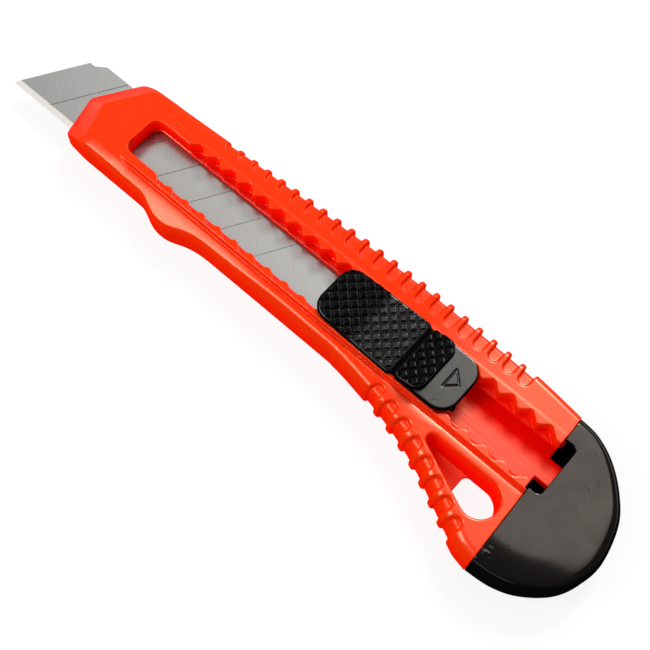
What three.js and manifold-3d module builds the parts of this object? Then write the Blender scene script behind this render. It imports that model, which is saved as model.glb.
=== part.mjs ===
// Snap-off utility knife: moulded handle, end cap, 18 mm blade, and the two-part thumb slide.
// Millimetres. X runs from the nose tip to the end cap, Y = 0 is the slot's centre line with the
// blade's spine on +Y, and Z = 0 is the flat underside.
import * as THREE from 'three';
import { mergeVertices } from 'three/addons/utils/BufferGeometryUtils.js';
import Module from 'manifold-3d';

const wasm = await Module();
wasm.setup();

// ---------- Driving dimensions ----------

// Clearances
const PIECE_GAP = 0.3; // between pieces that touch
const BLADE_SIDE_PLAY = 0.25; // blade edge to channel wall
const SLIDE_LIFT = 0.2; // underside of the slide above the track

// Handle
const BODY_THICKNESS = 9.2;
const BODY_ROUND = 2.2; // rounding along the long edges
const TRACK_RISE = 0.6; // raised track round the slot
const TRACK_HALF_WIDTH = 7.7;
const MOUTH_X = 135.75; // where the end cap's mouth crosses the centre line
const MOUTH_SLANT = THREE.MathUtils.degToRad(1.7);
const NOSE_FAR_CORNER = new THREE.Vector2(6.8, 11.2);
const NOSE_NEAR_CORNER = new THREE.Vector2(3, -11.2);
const NOSE_CORNER_ROUND = 2;
const NOSE_TIP_ROUND = 0.9;
const NOSE_BEVEL_WIDTH = 4.5;
const NOSE_BEVEL_DEPTH = 3.2;
const NOSE_RAMP = [17, 24]; // the nose runs down to the flanks between these stations
const SPINE_SIDE_EDGE = [
  [34.1, 12.7], [60.1, 14.35], [80.1, 15.25], [95.1, 15.4], [110.1, 15.15], [123.1, 14.6], [135.4, 13.35],
];
const GRIP_SIDE_EDGE = [
  [136.5, -26.75], [133, -26.1], [131.2, -25.4], [127.4, -23.6], [123, -21.5], [118.6, -19.4], [114.5, -17.6],
  [110, -16], [105.8, -14.75], [101.5, -13.7], [97.3, -12.8], [93, -12.05], [90, -11.6], [86.5, -11.25],
  [83, -11.1], [55, -11.1], [47, -11.2], [43, -11.85], [40, -12.95], [38, -13.55], [36, -13.7], [34, -13.5],
  [32, -12.85], [30, -11.95], [28, -11.3], [25, -11.2],
];
const SPINE_SIDE_END = 13.35; // the two edges at the cap's mouth
const GRIP_SIDE_END = -26.75;
const RUN_OUT = [[160, 9.3], [160, -32]]; // past the mouth, before the cut

// Blade and its channel
const BLADE_WIDTH = 18;
const BLADE_THICKNESS = 0.5;
const BLADE_LENGTH = 100;
const BLADE_OUT = 17.8; // cutting corner ahead of the nose tip
const BLADE_ANGLE = THREE.MathUtils.degToRad(60);
const BLADE_SEGMENT = 10.31;
const BLADE_SEGMENTS = 7; // snap lines
const SNAP_LINE_WIDTH = 0.24;
const SNAP_LINE_DEPTH = 0.12;
const BLADE_BEVEL = 1.5;
const BLADE_STEP = [1.6, 3, 1.8]; // flat, length and depth of the step at the tip's spine corner
const BLADE_OFFSET = 0.3; // blade centre towards the spine side
const BLADE_UNDERSIDE = 4.5;
const BLADE_HOLE_RADIUS = 1.7;
const BLADE_HOLE_FROM_TAIL = 8;
const CHANNEL_FLOOR = 4.2;
const RAIL_UNDERSIDE = 5.3;
const RAIL_TOP = 6.15;
const RAIL_HALF_GAP = 4.95;

// Slot and racks
const SLOT_FRONT = 17.2;
const SLOT_ROUND = 2.2;
const TOOTH_HALF_GAP = 5.35;
const NOTCH_HALF_GAP = 7;
const TOOTH_PITCH = 5.07;
const FIRST_NOTCH = 30.3;
const NOTCH_COUNT = 21;
const NOTCH_MOUTH = 4.7;
const NOTCH_FLOOR = 0.8;
const TONGUE_SIDES = [-2, 3.2];
const TONGUE_REACH = 7;
const FLOOR_SETBACK = 0.7; // channel floor ends this far before the cap's mouth

// Grip ribs
const RIB_DEPTH = 0.95;
const SPINE_RIB_PITCH = 4.06;
const SPINE_RIB_FIRST = 35.8;
const SPINE_RIB_COUNT = 22;
const SPINE_RIB_WIDTH = 2.45;
const SPINE_RIB_ROOT = 10.2; // Y where the flutes begin
const GRIP_RIB_PITCH = 4.54;
const GRIP_RIB_FIRST = 98.9;
const GRIP_RIB_COUNT = 8;
const GRIP_RIB_WIDTH = 2.7;
const GRIP_RIB_LENGTH = 3.3;

// Teardrop pocket and hanging hole
const POCKET_FLOOR = 1.1;
const POCKET_TOP = -10.6;
const POCKET_TIP_X = 108.3;
const POCKET_END_X = 134.1;
const POCKET_LOW_Y = -21.5;
const POCKET_TIP_ROUND = 1.35;
const POCKET_END_ROUND = 4.3;
const HOLE_START = 124.2;
const HOLE_ROUND = 1.5;

// End cap
const CAP_THICKNESS = 9.6;
const CAP_WALL = 1.6;
const CAP_EDGE = [[140.1, 12.8], [145.2, 10.5], [150.2, 6.3], [154.4, 0.5], [156.5, -7.6], [156, -13.6],
  [153.3, -19.1], [148, -23.7], [142.5, -26]];
const CAP_NOTCH_DEPTH = 3;
const CAP_NOTCH_HALF_WIDTH = 6.6;
const CAP_NOTCH_ROUND = 1.2;
const SPIGOT_LENGTH = 6.5;
const SPIGOT_ROOT = 0.8;

// Thumb slide
const PAD_AHEAD = 3.1; // pad's front edge ahead of the blade's hole
const PAD_LENGTH = 22.5;
const PAD_RAMP_LENGTH = 11.1; // from the front edge to the crease
const PAD_HALF_WIDTH = [6.8, 7.4]; // at the front and the rear
const PAD_THICKNESS = 1.3;
const PAD_FRONT_RISE = 0.5;
const PAD_FRONT_ROUND = 4;
const PAD_REAR_ROUND = 1.4;
const BOSS_HALF_WIDTH = 4;
const BOSS_SETBACK = 5.7; // behind the pad's front edge
const BOSS_REAR_SETBACK = 0.6; // ahead of the pad's rear edge
const BOSS_UNDERSIDE = 7;
const GUIDE_HALF_WIDTH = 2.2;
const GUIDE_HEIGHT = 1.3;
const GUIDE_UNDERSIDE = 8;
const GUIDE_REACH = 9.8; // beyond the pad

// Lock slide
const LOCK_GAP = 0.6; // between the two pads when the blade is locked
const LOCK_LENGTH = 14.4;
const LOCK_PAD_LENGTH = 7.2;
const LOCK_HALF_WIDTH = 7;
const LOCK_PLATE = 1.3;
const LOCK_PAD_LOW = 0.4; // pad above the plate at its front
const LOCK_PAD_HIGH = 2.2; // pad above the plate at its rear
const LOCK_REAR_ROUND = 4.2;
const LOCK_PAD_REAR_ROUND = 2.6;
const WEDGE_HALF_WIDTH = 4;
const WEDGE_LENGTH = 10;
const WEDGE_UNDERSIDE = 7;

// Blade carrier
const CARRIER_AHEAD = 2.6; // front end ahead of the blade's hole
const CARRIER_HALF_WIDTH = 4.6;
const CARRIER_TOP = 6.7;
const CARRIER_LENGTH = 33.2;
const FOOT_LENGTH = 15;
const PEG_RADIUS = 1.3;
const PEG_BEHIND = 13.6; // peg behind the pad's front edge

// Detent spring
const SPRING_STRIP = 0.35;
const SPRING_HEIGHT = 2;
const SPRING_ARM = 4.35; // centre of each arm from the centre line
const SPRING_NOSE = 6.35; // centre of the strip at the V's tip
const SPRING_NOSE_HALF = 2;
const SPRING_NOSE_BEHIND = 16.8; // V noses behind the blade's hole, before they settle in a notch
const SPRING_TAIL = 2.2; // arms beyond the front of the lock slide

// ---------- Solids ----------

function solid(geometry) {
  const bare = geometry.clone();
  bare.deleteAttribute('normal');
  bare.deleteAttribute('uv');
  const merged = mergeVertices(bare, 1e-4);
  return new wasm.Manifold(new wasm.Mesh({
    numProp: 3,
    vertProperties: new Float32Array(merged.attributes.position.array),
    triVerts: new Uint32Array(merged.index.array),
  }));
}

function toMesh(name, manifold, material) {
  const made = manifold.getMesh();
  const geometry = new THREE.BufferGeometry();
  geometry.setAttribute('position', new THREE.BufferAttribute(new Float32Array(made.vertProperties), 3));
  geometry.setIndex(new THREE.BufferAttribute(new Uint32Array(made.triVerts), 1));
  const mesh = new THREE.Mesh(geometry, material);
  mesh.name = name;
  return mesh;
}

// A closed outline of [x, y] or [x, y, corner radius] points, with the corners as arcs.
function outline(points, arcSteps = 5) {
  const path = [];
  points.forEach(([x, y, radius = 0], index) => {
    const corner = new THREE.Vector2(x, y);
    if (radius === 0) {
      path.push(corner);
      return;
    }
    const [px, py] = points[(index + points.length - 1) % points.length];
    const [nx, ny] = points[(index + 1) % points.length];
    const back = new THREE.Vector2(px, py).sub(corner).normalize();
    const ahead = new THREE.Vector2(nx, ny).sub(corner).normalize();
    const half = Math.acos(THREE.MathUtils.clamp(back.dot(ahead), -1, 1)) / 2;
    const run = radius / Math.tan(half);
    const centre = back.clone().add(ahead).normalize().multiplyScalar(radius / Math.sin(half)).add(corner);
    const from = corner.clone().addScaledVector(back, run).sub(centre).angle();
    const to = corner.clone().addScaledVector(ahead, run).sub(centre).angle();
    const turn = Math.atan2(Math.sin(to - from), Math.cos(to - from));
    for (let step = 0; step <= arcSteps; step += 1) {
      const angle = from + (turn * step) / arcSteps;
      path.push(new THREE.Vector2(Math.cos(angle), Math.sin(angle)).multiplyScalar(radius).add(centre));
    }
  });
  return path;
}

const toPoints = (pairs) => pairs.map(([x, y]) => new THREE.Vector2(x, y));

function smooth(points, spacing) {
  const curve = new THREE.SplineCurve(toPoints(points));
  return curve.getSpacedPoints(Math.round(curve.getLength() / spacing));
}

function prism(path, low, high) {
  const geometry = new THREE.ExtrudeGeometry(new THREE.Shape(path), { depth: high - low, bevelEnabled: false });
  return solid(geometry.translate(0, 0, low));
}

// A prism of the given outline whose edges are rounded, drawn in all round by inset.
function pebble(path, low, high, round, inset = 0, steps = 3) {
  const geometry = new THREE.ExtrudeGeometry(new THREE.Shape(path), {
    depth: high - low - 2 * round,
    bevelThickness: round,
    bevelSize: round,
    bevelOffset: -round - inset,
    bevelSegments: steps,
  });
  return solid(geometry.translate(0, 0, low + round));
}

// A slab across the part whose side view, in X and Z, is the given outline.
function sideProfile(path, halfWidth) {
  const shape = new THREE.Shape(path.map(([x, z]) => new THREE.Vector2(x, z)));
  const geometry = new THREE.ExtrudeGeometry(shape, { depth: 2 * halfWidth, bevelEnabled: false });
  return solid(geometry.rotateX(Math.PI / 2).translate(0, halfWidth, 0));
}

function box(x0, x1, y0, y1, z0, z1) {
  const geometry = new THREE.BoxGeometry(x1 - x0, y1 - y0, z1 - z0);
  return solid(geometry.translate((x0 + x1) / 2, (y0 + y1) / 2, (z0 + z1) / 2));
}

function cylinder(radius, x, y, z0, z1, sides = 24) {
  const geometry = new THREE.CylinderGeometry(radius, radius, z1 - z0, sides);
  return solid(geometry.rotateX(Math.PI / 2).translate(x, y, (z0 + z1) / 2));
}

const mouthAt = (y) => MOUTH_X - y * Math.tan(MOUTH_SLANT);
const FAR = 200; // beyond every face

// ---------- Handle ----------

const noseCorners = [NOSE_NEAR_CORNER, new THREE.Vector2(0, 0), NOSE_FAR_CORNER];
const longEdges = [...smooth(SPINE_SIDE_EDGE, 4), ...toPoints(RUN_OUT), ...smooth(GRIP_SIDE_EDGE, 2)];
const handleOutline = [...noseCorners, ...longEdges];
const noseRounds = [NOSE_CORNER_ROUND, NOSE_TIP_ROUND, NOSE_CORNER_ROUND];
const roundedNose = outline([
  ...noseCorners.map(({ x, y }, index) => [x, y, noseRounds[index]]),
  ...longEdges.map(({ x, y }) => [x, y]),
]);

// The edge's points and outward directions at equal steps, for the flutes of the grip side.
function stationsAlong(path, firstX, pitch, count) {
  const curve = new THREE.SplineCurve(toPoints(path));
  const length = curve.getLength();
  const fine = 400;
  let start = 0;
  for (let step = 0; step <= fine; step += 1) {
    if (curve.getPointAt(step / fine).x > firstX) {
      start = step / fine;
    }
  }
  return Array.from({ length: count }, (_, index) => {
    const at = start - (index * pitch) / length;
    const tangent = curve.getTangentAt(at);
    return { point: curve.getPointAt(at), outward: new THREE.Vector2(-tangent.y, tangent.x) };
  });
}

// A U-shaped flute: a slot with a round inner end, cut through from top to bottom.
function flute(inner, outward, width, length) {
  const across = new THREE.Vector2(-outward.y, outward.x);
  const at = (along, side) => inner.clone().addScaledVector(outward, along).addScaledVector(across, side);
  const radius = width / 2;
  const path = [];
  for (let step = 0; step <= 6; step += 1) {
    const angle = (Math.PI * step) / 6;
    path.push(at(radius - radius * Math.sin(angle), radius * Math.cos(angle)));
  }
  path.push(at(length, -radius), at(length, radius));
  return prism(path, -1, BODY_THICKNESS + TRACK_RISE + 1);
}

function noseBevel(from, to, inward, top, turn) {
  const side = new THREE.Vector2().subVectors(to, from);
  const reach = 6;
  const shape = new THREE.Shape([
    new THREE.Vector2(-reach, -NOSE_BEVEL_DEPTH * (1 + reach / NOSE_BEVEL_WIDTH)),
    new THREE.Vector2(NOSE_BEVEL_WIDTH * (1 + reach / NOSE_BEVEL_DEPTH), reach),
    new THREE.Vector2(-reach, reach),
  ]);
  const length = side.length() + 2 * reach;
  const geometry = new THREE.ExtrudeGeometry(shape, { depth: length, bevelEnabled: false });
  geometry.translate(0, 0, -reach);
  const along = new THREE.Vector3(side.x, side.y, 0).normalize();
  const inwards = new THREE.Vector3(inward.x, inward.y, 0);
  const basis = new THREE.Matrix4().makeBasis(inwards, new THREE.Vector3(0, 0, turn), along);
  geometry.applyMatrix4(basis);
  if (basis.determinant() < 0) {
    geometry.index = null;
    const flipped = geometry.attributes.position.array;
    for (let corner = 0; corner < flipped.length; corner += 9) {
      for (let axis = 0; axis < 3; axis += 1) {
        [flipped[corner + axis], flipped[corner + 3 + axis]] = [flipped[corner + 3 + axis], flipped[corner + axis]];
      }
    }
  }
  return solid(geometry.translate(from.x, from.y, top));
}

function makeHandleBody() {
  const top = BODY_THICKNESS + TRACK_RISE;
  const nose = pebble(handleOutline, 0, top, BODY_ROUND);
  const noseSide = [[-FAR, -1], [NOSE_RAMP[1], -1], [NOSE_RAMP[1], BODY_THICKNESS], [NOSE_RAMP[0], top], [-FAR, top]];
  const flanks = pebble(handleOutline, 0, BODY_THICKNESS, BODY_ROUND);
  const track = box(NOSE_RAMP[0], RUN_OUT[0][0], -TRACK_HALF_WIDTH, TRACK_HALF_WIDTH, BODY_THICKNESS - 1, top);
  let body = flanks.add(nose.intersect(sideProfile(noseSide, FAR))).add(track);
  body = body.intersect(prism(roundedNose, -1, FAR)).subtract(behindMouth(0));
  const tip = new THREE.Vector2(0, 0);
  [NOSE_FAR_CORNER, NOSE_NEAR_CORNER].forEach((corner) => {
    const along = corner.clone().sub(tip).normalize();
    const inward = new THREE.Vector2(Math.abs(along.y), -along.x * Math.sign(along.y));
    body = body.subtract(noseBevel(tip, corner, inward, top, 1));
    body = body.subtract(noseBevel(tip, corner, inward, 0, -1));
  });
  return body;
}

function cutFlutes(body) {
  let fluted = body;
  for (let index = 0; index < SPINE_RIB_COUNT; index += 1) {
    const inner = new THREE.Vector2(SPINE_RIB_FIRST + index * SPINE_RIB_PITCH, SPINE_RIB_ROOT);
    fluted = fluted.subtract(flute(inner, new THREE.Vector2(0, 1), SPINE_RIB_WIDTH, 8));
  }
  stationsAlong(GRIP_SIDE_EDGE, GRIP_RIB_FIRST, GRIP_RIB_PITCH, GRIP_RIB_COUNT).forEach(({ point, outward }) => {
    const away = outward.y > 0 ? outward.clone().negate() : outward;
    const inner = point.clone().addScaledVector(away, -GRIP_RIB_LENGTH);
    fluted = fluted.subtract(flute(inner, away, GRIP_RIB_WIDTH, 8));
  });
  const core = pebble(handleOutline, RIB_DEPTH, BODY_THICKNESS - RIB_DEPTH, BODY_ROUND, RIB_DEPTH);
  const behindNose = box(NOSE_RAMP[1], FAR, -FAR, FAR, -1, FAR);
  return fluted.add(core.intersect(behindNose).subtract(behindMouth(0)));
}

function slotOutline() {
  const side = (sign) => {
    const teeth = [];
    for (let index = 0; index < NOTCH_COUNT; index += 1) {
      const centre = FIRST_NOTCH + index * TOOTH_PITCH;
      teeth.push([centre - NOTCH_MOUTH / 2, sign * TOOTH_HALF_GAP]);
      teeth.push([centre - NOTCH_FLOOR / 2, sign * NOTCH_HALF_GAP]);
      teeth.push([centre + NOTCH_FLOOR / 2, sign * NOTCH_HALF_GAP]);
      teeth.push([centre + NOTCH_MOUTH / 2, sign * TOOTH_HALF_GAP]);
    }
    return teeth;
  };
  const front = [[SLOT_FRONT, TOOTH_HALF_GAP, SLOT_ROUND], [SLOT_FRONT, -TOOTH_HALF_GAP, SLOT_ROUND]];
  const rear = [[FAR, -TOOTH_HALF_GAP], [FAR, TOOTH_HALF_GAP]];
  return outline([...front, ...side(-1), ...rear, ...side(1).reverse()]);
}

function cutSlot(body) {
  const slot = prism(slotOutline(), RAIL_TOP, FAR);
  const railGap = outline([[SLOT_FRONT, RAIL_HALF_GAP, SLOT_ROUND], [SLOT_FRONT, -RAIL_HALF_GAP, SLOT_ROUND],
    [FAR, -RAIL_HALF_GAP], [FAR, RAIL_HALF_GAP]]);
  const half = BLADE_WIDTH / 2 + BLADE_SIDE_PLAY;
  const channel = box(-FAR, FAR, BLADE_OFFSET - half, BLADE_OFFSET + half, CHANNEL_FLOOR, RAIL_UNDERSIDE);
  return body.subtract(slot).subtract(prism(railGap, CHANNEL_FLOOR, FAR)).subtract(channel);
}

const pocketSlope = (POCKET_LOW_Y - POCKET_TOP) / (POCKET_END_X - POCKET_TIP_X);
const pocketOutline = outline([[POCKET_TIP_X, POCKET_TOP, POCKET_TIP_ROUND],
  [POCKET_END_X, POCKET_LOW_Y, POCKET_END_ROUND], [POCKET_END_X, POCKET_TOP, POCKET_END_ROUND]], 8);
const holeLowStart = POCKET_TOP + pocketSlope * (HOLE_START - POCKET_TIP_X);
const holeOutline = outline([[HOLE_START, POCKET_TOP, HOLE_ROUND], [HOLE_START, holeLowStart, HOLE_ROUND],
  [POCKET_END_X, POCKET_LOW_Y, POCKET_END_ROUND], [POCKET_END_X, POCKET_TOP, POCKET_END_ROUND]], 8);

function cutTail(body) {
  const pocket = prism(pocketOutline, POCKET_FLOOR, FAR);
  const hole = prism(holeOutline, -1, FAR);
  return body.subtract(pocket).subtract(hole);
}

// The rear ends inside the cap: two spigots beside the slot, and the channel floor's tongue.
function addRearEnd(body) {
  const inset = CAP_WALL + PIECE_GAP;
  const low = inset;
  const high = CAP_THICKNESS - inset;
  const cavity = pebble(capOutline(), low, high, BODY_ROUND - 1, inset);
  const reach = mouthAt(0) + SPIGOT_LENGTH;
  const sides = [[TRACK_HALF_WIDTH, FAR], [-FAR, -TRACK_HALF_WIDTH]];
  let whole = body;
  sides.forEach(([y0, y1]) => {
    whole = whole.add(cavity.intersect(box(0, reach, y0, y1, low, high)).intersect(behindMouth(-SPIGOT_ROOT)));
  });
  const floorEnd = mouthAt(0) - FLOOR_SETBACK;
  const clear = TRACK_HALF_WIDTH - 0.4;
  const tongue = box(floorEnd - 2, mouthAt(0) + TONGUE_REACH, ...TONGUE_SIDES, low, CHANNEL_FLOOR);
  return whole.subtract(box(floorEnd, FAR, -clear, clear, -1, FAR)).add(tongue);
}

function capOutline() {
  const arc = smooth([[mouthAt(SPINE_SIDE_END), SPINE_SIDE_END], ...CAP_EDGE, [mouthAt(GRIP_SIDE_END), GRIP_SIDE_END]], 2.5);
  const rootX = 20;
  const back = [new THREE.Vector2(mouthAt(0) - rootX, GRIP_SIDE_END), new THREE.Vector2(mouthAt(0) - rootX, SPINE_SIDE_END)];
  return [...arc, ...back];
}

function makeHandle() {
  return addRearEnd(cutTail(cutSlot(cutFlutes(makeHandleBody()))));
}

// ---------- End cap ----------

// Everything behind a slanted plane across the part, at the given distance behind the mouth.
function behindMouth(distance) {
  const wide = 60;
  const path = [[mouthAt(-wide) + distance, -wide], [FAR, -wide], [FAR, wide], [mouthAt(wide) + distance, wide]];
  return prism(toPoints(path), -FAR, FAR);
}

function makeEndCap() {
  const shell = pebble(capOutline(), 0, CAP_THICKNESS, BODY_ROUND).intersect(behindMouth(PIECE_GAP));
  const hollow = pebble(capOutline(), CAP_WALL, CAP_THICKNESS - CAP_WALL, BODY_ROUND - 1, CAP_WALL);
  const notch = outline([[MOUTH_X - 5, CAP_NOTCH_HALF_WIDTH], [MOUTH_X - 5, -CAP_NOTCH_HALF_WIDTH],
    [MOUTH_X + CAP_NOTCH_DEPTH, -CAP_NOTCH_HALF_WIDTH, CAP_NOTCH_ROUND],
    [MOUTH_X + CAP_NOTCH_DEPTH, CAP_NOTCH_HALF_WIDTH, CAP_NOTCH_ROUND]]);
  return shell.subtract(hollow).subtract(prism(notch, CAP_THICKNESS / 2, FAR));
}

// ---------- Blade ----------

const bladeTop = BLADE_UNDERSIDE + BLADE_THICKNESS;
const bladeLow = BLADE_OFFSET - BLADE_WIDTH / 2;
const bladeHigh = BLADE_OFFSET + BLADE_WIDTH / 2;
const bladeLean = 1 / Math.tan(BLADE_ANGLE);
const bladeTail = -BLADE_OUT + BLADE_LENGTH;
const studX = bladeTail + (BLADE_WIDTH / 2) * bladeLean - BLADE_HOLE_FROM_TAIL;

function makeBlade() {
  const [stepFlat, stepLength, stepDepth] = BLADE_STEP;
  const tipAt = (y) => -BLADE_OUT + (y - bladeLow) * bladeLean;
  const shoulder = bladeHigh - stepDepth;
  const path = [
    [tipAt(bladeLow), bladeLow],
    [bladeTail, bladeLow],
    [bladeTail + BLADE_WIDTH * bladeLean, bladeHigh],
    [tipAt(bladeHigh) + stepLength, bladeHigh],
    [tipAt(shoulder) + stepFlat, shoulder],
    [tipAt(shoulder), shoulder],
  ];
  let blade = prism(outline(path), BLADE_UNDERSIDE, bladeTop);
  const ground = BLADE_THICKNESS / 2 - 0.04;
  [1, -1].forEach((face) => {
    const middle = BLADE_UNDERSIDE + BLADE_THICKNESS / 2;
    const outer = middle + face * (BLADE_THICKNESS / 2);
    const shape = [[bladeLow - 1, outer - face * ground * (1 + 1 / BLADE_BEVEL)], [bladeLow + BLADE_BEVEL, outer],
      [bladeLow + BLADE_BEVEL, outer + face], [bladeLow - 1, outer + face]];
    const profile = new THREE.Shape(shape.map(([y, z]) => new THREE.Vector2(y, z)));
    const geometry = new THREE.ExtrudeGeometry(profile, { depth: 2 * BLADE_LENGTH, bevelEnabled: false });
    geometry.applyMatrix4(new THREE.Matrix4().makeBasis(
      new THREE.Vector3(0, 1, 0),
      new THREE.Vector3(0, 0, 1),
      new THREE.Vector3(1, 0, 0),
    ));
    blade = blade.subtract(solid(geometry.translate(-BLADE_LENGTH / 2, 0, 0)));
  });
  for (let line = 1; line <= BLADE_SEGMENTS; line += 1) {
    const foot = -BLADE_OUT + line * BLADE_SEGMENT;
    const head = foot + BLADE_WIDTH * bladeLean;
    const over = bladeLean;
    const groove = [[foot - over, bladeLow - 1], [foot - over + SNAP_LINE_WIDTH, bladeLow - 1],
      [head + over + SNAP_LINE_WIDTH, bladeHigh + 1], [head + over, bladeHigh + 1]];
    blade = blade.subtract(prism(outline(groove), bladeTop - SNAP_LINE_DEPTH, bladeTop + 1));
  }
  return blade.subtract(cylinder(BLADE_HOLE_RADIUS, studX, BLADE_OFFSET, 0, BODY_THICKNESS));
}

// ---------- Thumb slide, lock slide, carrier and spring ----------

const slideUnderside = BODY_THICKNESS + TRACK_RISE + SLIDE_LIFT;
const slideTop = slideUnderside + PAD_THICKNESS;
const padFront = studX - PAD_AHEAD;
const padRear = padFront + PAD_LENGTH;
const bossFront = padFront + BOSS_SETBACK;
const lockFront = padRear + LOCK_GAP;
const lockRear = lockFront + LOCK_LENGTH;
const pegX = padFront + PEG_BEHIND;

function makeThumbSlide() {
  const [front, rear] = PAD_HALF_WIDTH;
  const plan = outline([[padFront, -front, PAD_FRONT_ROUND], [padRear, -rear, PAD_REAR_ROUND],
    [padRear, rear, PAD_REAR_ROUND], [padFront, front, PAD_FRONT_ROUND]]);
  const side = [[padFront, slideUnderside], [padRear, slideUnderside], [padRear, slideTop],
    [padFront + PAD_RAMP_LENGTH, slideTop], [padFront, slideTop + PAD_FRONT_RISE]];
  const plate = prism(plan, slideUnderside, slideTop + PAD_FRONT_RISE).intersect(sideProfile(side, FAR));
  const bossRear = padRear - BOSS_REAR_SETBACK;
  const boss = box(bossFront, bossRear, -BOSS_HALF_WIDTH, BOSS_HALF_WIDTH, BOSS_UNDERSIDE, slideUnderside + 0.5);
  const guideTop = GUIDE_UNDERSIDE + GUIDE_HEIGHT;
  const guide = box(bossRear - 2, padRear + GUIDE_REACH, -GUIDE_HALF_WIDTH, GUIDE_HALF_WIDTH, GUIDE_UNDERSIDE, guideTop);
  const peg = cylinder(PEG_RADIUS, pegX, 0, RAIL_UNDERSIDE, BOSS_UNDERSIDE + 1);
  return plate.add(boss).add(guide).add(peg);
}

function makeLockSlide() {
  const half = LOCK_HALF_WIDTH;
  const padEnd = lockFront + LOCK_PAD_LENGTH;
  const plan = outline([[lockFront, -half, PAD_REAR_ROUND], [lockRear, -half, LOCK_REAR_ROUND],
    [lockRear, half, LOCK_REAR_ROUND], [lockFront, half, PAD_REAR_ROUND]]);
  const plate = prism(plan, slideUnderside, slideUnderside + LOCK_PLATE);
  const padPlan = outline([[lockFront, -half, PAD_REAR_ROUND], [padEnd, -half, LOCK_PAD_REAR_ROUND],
    [padEnd, half, LOCK_PAD_REAR_ROUND], [lockFront, half, PAD_REAR_ROUND]]);
  const padSide = [[lockFront, slideUnderside], [padEnd, slideUnderside], [padEnd, slideTop + LOCK_PAD_HIGH],
    [lockFront, slideTop + LOCK_PAD_LOW]];
  const pad = prism(padPlan, slideUnderside, slideTop + LOCK_PAD_HIGH).intersect(sideProfile(padSide, FAR));
  const wedgeRear = lockFront + WEDGE_LENGTH;
  const wedge = box(lockFront, wedgeRear, -WEDGE_HALF_WIDTH, WEDGE_HALF_WIDTH, WEDGE_UNDERSIDE, slideUnderside + 0.5);
  const tunnelHalf = GUIDE_HALF_WIDTH + PIECE_GAP;
  const tunnelLow = GUIDE_UNDERSIDE - PIECE_GAP;
  const tunnelHigh = GUIDE_UNDERSIDE + GUIDE_HEIGHT + PIECE_GAP;
  return plate.add(pad).add(wedge).subtract(box(lockFront - 1, FAR, -tunnelHalf, tunnelHalf, tunnelLow, tunnelHigh));
}

function makeBladeCarrier() {
  const channelTop = RAIL_UNDERSIDE - 0.15;
  const under = bladeTop + 0.15;
  const blockFront = studX - CARRIER_AHEAD;
  const block = box(blockFront, blockFront + CARRIER_LENGTH, -CARRIER_HALF_WIDTH, CARRIER_HALF_WIDTH, under, CARRIER_TOP);
  const footHalf = BLADE_WIDTH / 2;
  const footFront = bladeTail + BLADE_WIDTH * bladeLean + PIECE_GAP;
  const foot = box(footFront, footFront + FOOT_LENGTH, BLADE_OFFSET - footHalf, BLADE_OFFSET + footHalf, CHANNEL_FLOOR + 0.15, channelTop);
  const stud = cylinder(BLADE_HOLE_RADIUS - PIECE_GAP, studX, BLADE_OFFSET, BLADE_UNDERSIDE, under + 0.5);
  const pegHole = cylinder(PEG_RADIUS + PIECE_GAP, pegX, 0, 0, FAR);
  return block.add(foot).add(stud).subtract(pegHole);
}

function makeDetentSpring() {
  const notch = Math.round((studX + SPRING_NOSE_BEHIND - FIRST_NOTCH) / TOOTH_PITCH);
  const noseX = FIRST_NOTCH + notch * TOOTH_PITCH;
  const frontX = bossFront - PIECE_GAP - SPRING_STRIP / 2;
  const arm = (sign) => [[lockFront + SPRING_TAIL, sign * SPRING_ARM], [noseX + SPRING_NOSE_HALF, sign * SPRING_ARM],
    [noseX, sign * SPRING_NOSE], [noseX - SPRING_NOSE_HALF, sign * SPRING_ARM], [frontX, sign * SPRING_ARM]];
  const centre = [...arm(1), ...arm(-1).reverse()].map(([x, y]) => new THREE.Vector2(x, y));
  const offset = (distance) => centre.map((point, index) => {
    const before = centre[Math.max(index - 1, 0)];
    const after = centre[Math.min(index + 1, centre.length - 1)];
    const into = index === 0 ? after.clone().sub(point) : point.clone().sub(before);
    const out = index === centre.length - 1 ? into.clone() : after.clone().sub(point);
    into.normalize();
    out.normalize();
    const normal = new THREE.Vector2(-into.y - out.y, into.x + out.x).normalize();
    const square = new THREE.Vector2(-into.y, into.x);
    return point.clone().addScaledVector(normal, distance / normal.dot(square));
  });
  const strip = [...offset(SPRING_STRIP / 2), ...offset(-SPRING_STRIP / 2).reverse()];
  const low = CARRIER_TOP + PIECE_GAP;
  return prism(strip, low, low + SPRING_HEIGHT);
}

// ---------- Assembly ----------

const plastic = (colour, roughness) => new THREE.MeshStandardMaterial({ color: colour, roughness, metalness: 0 });
const steel = (colour, roughness) => new THREE.MeshStandardMaterial({ color: colour, roughness, metalness: 1 });
const orangeAbs = plastic(0xff4514, 0.35);
const blackAbs = plastic(0x1a1a1c, 0.3);
const bladeSteel = steel(0xa9aaac, 0.35);
const springSteel = steel(0x9c9a94, 0.3);

const knife = new THREE.Group();
knife.add(
  toMesh('handle', makeHandle(), orangeAbs),
  toMesh('end_cap', makeEndCap(), blackAbs),
  toMesh('blade', makeBlade(), bladeSteel),
  toMesh('thumb_slide', makeThumbSlide(), blackAbs),
  toMesh('lock_slide', makeLockSlide(), blackAbs),
  toMesh('blade_carrier', makeBladeCarrier(), blackAbs),
  toMesh('detent_spring', makeDetentSpring(), springSteel),
);

// The origin is under the middle of the whole knife, on the plane it rests on.
const bounds = new THREE.Box3().setFromObject(knife);
const middle = bounds.getCenter(new THREE.Vector3());
knife.position.set(-middle.x, -middle.y, -bounds.min.z);

export default knife;
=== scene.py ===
"""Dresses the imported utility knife: moulded handle and cap, studded slides, ground blade, stage."""

import math
from functools import partial
from types import SimpleNamespace

import bpy
import numpy as np
import openvdb
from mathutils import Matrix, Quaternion, Vector


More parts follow.
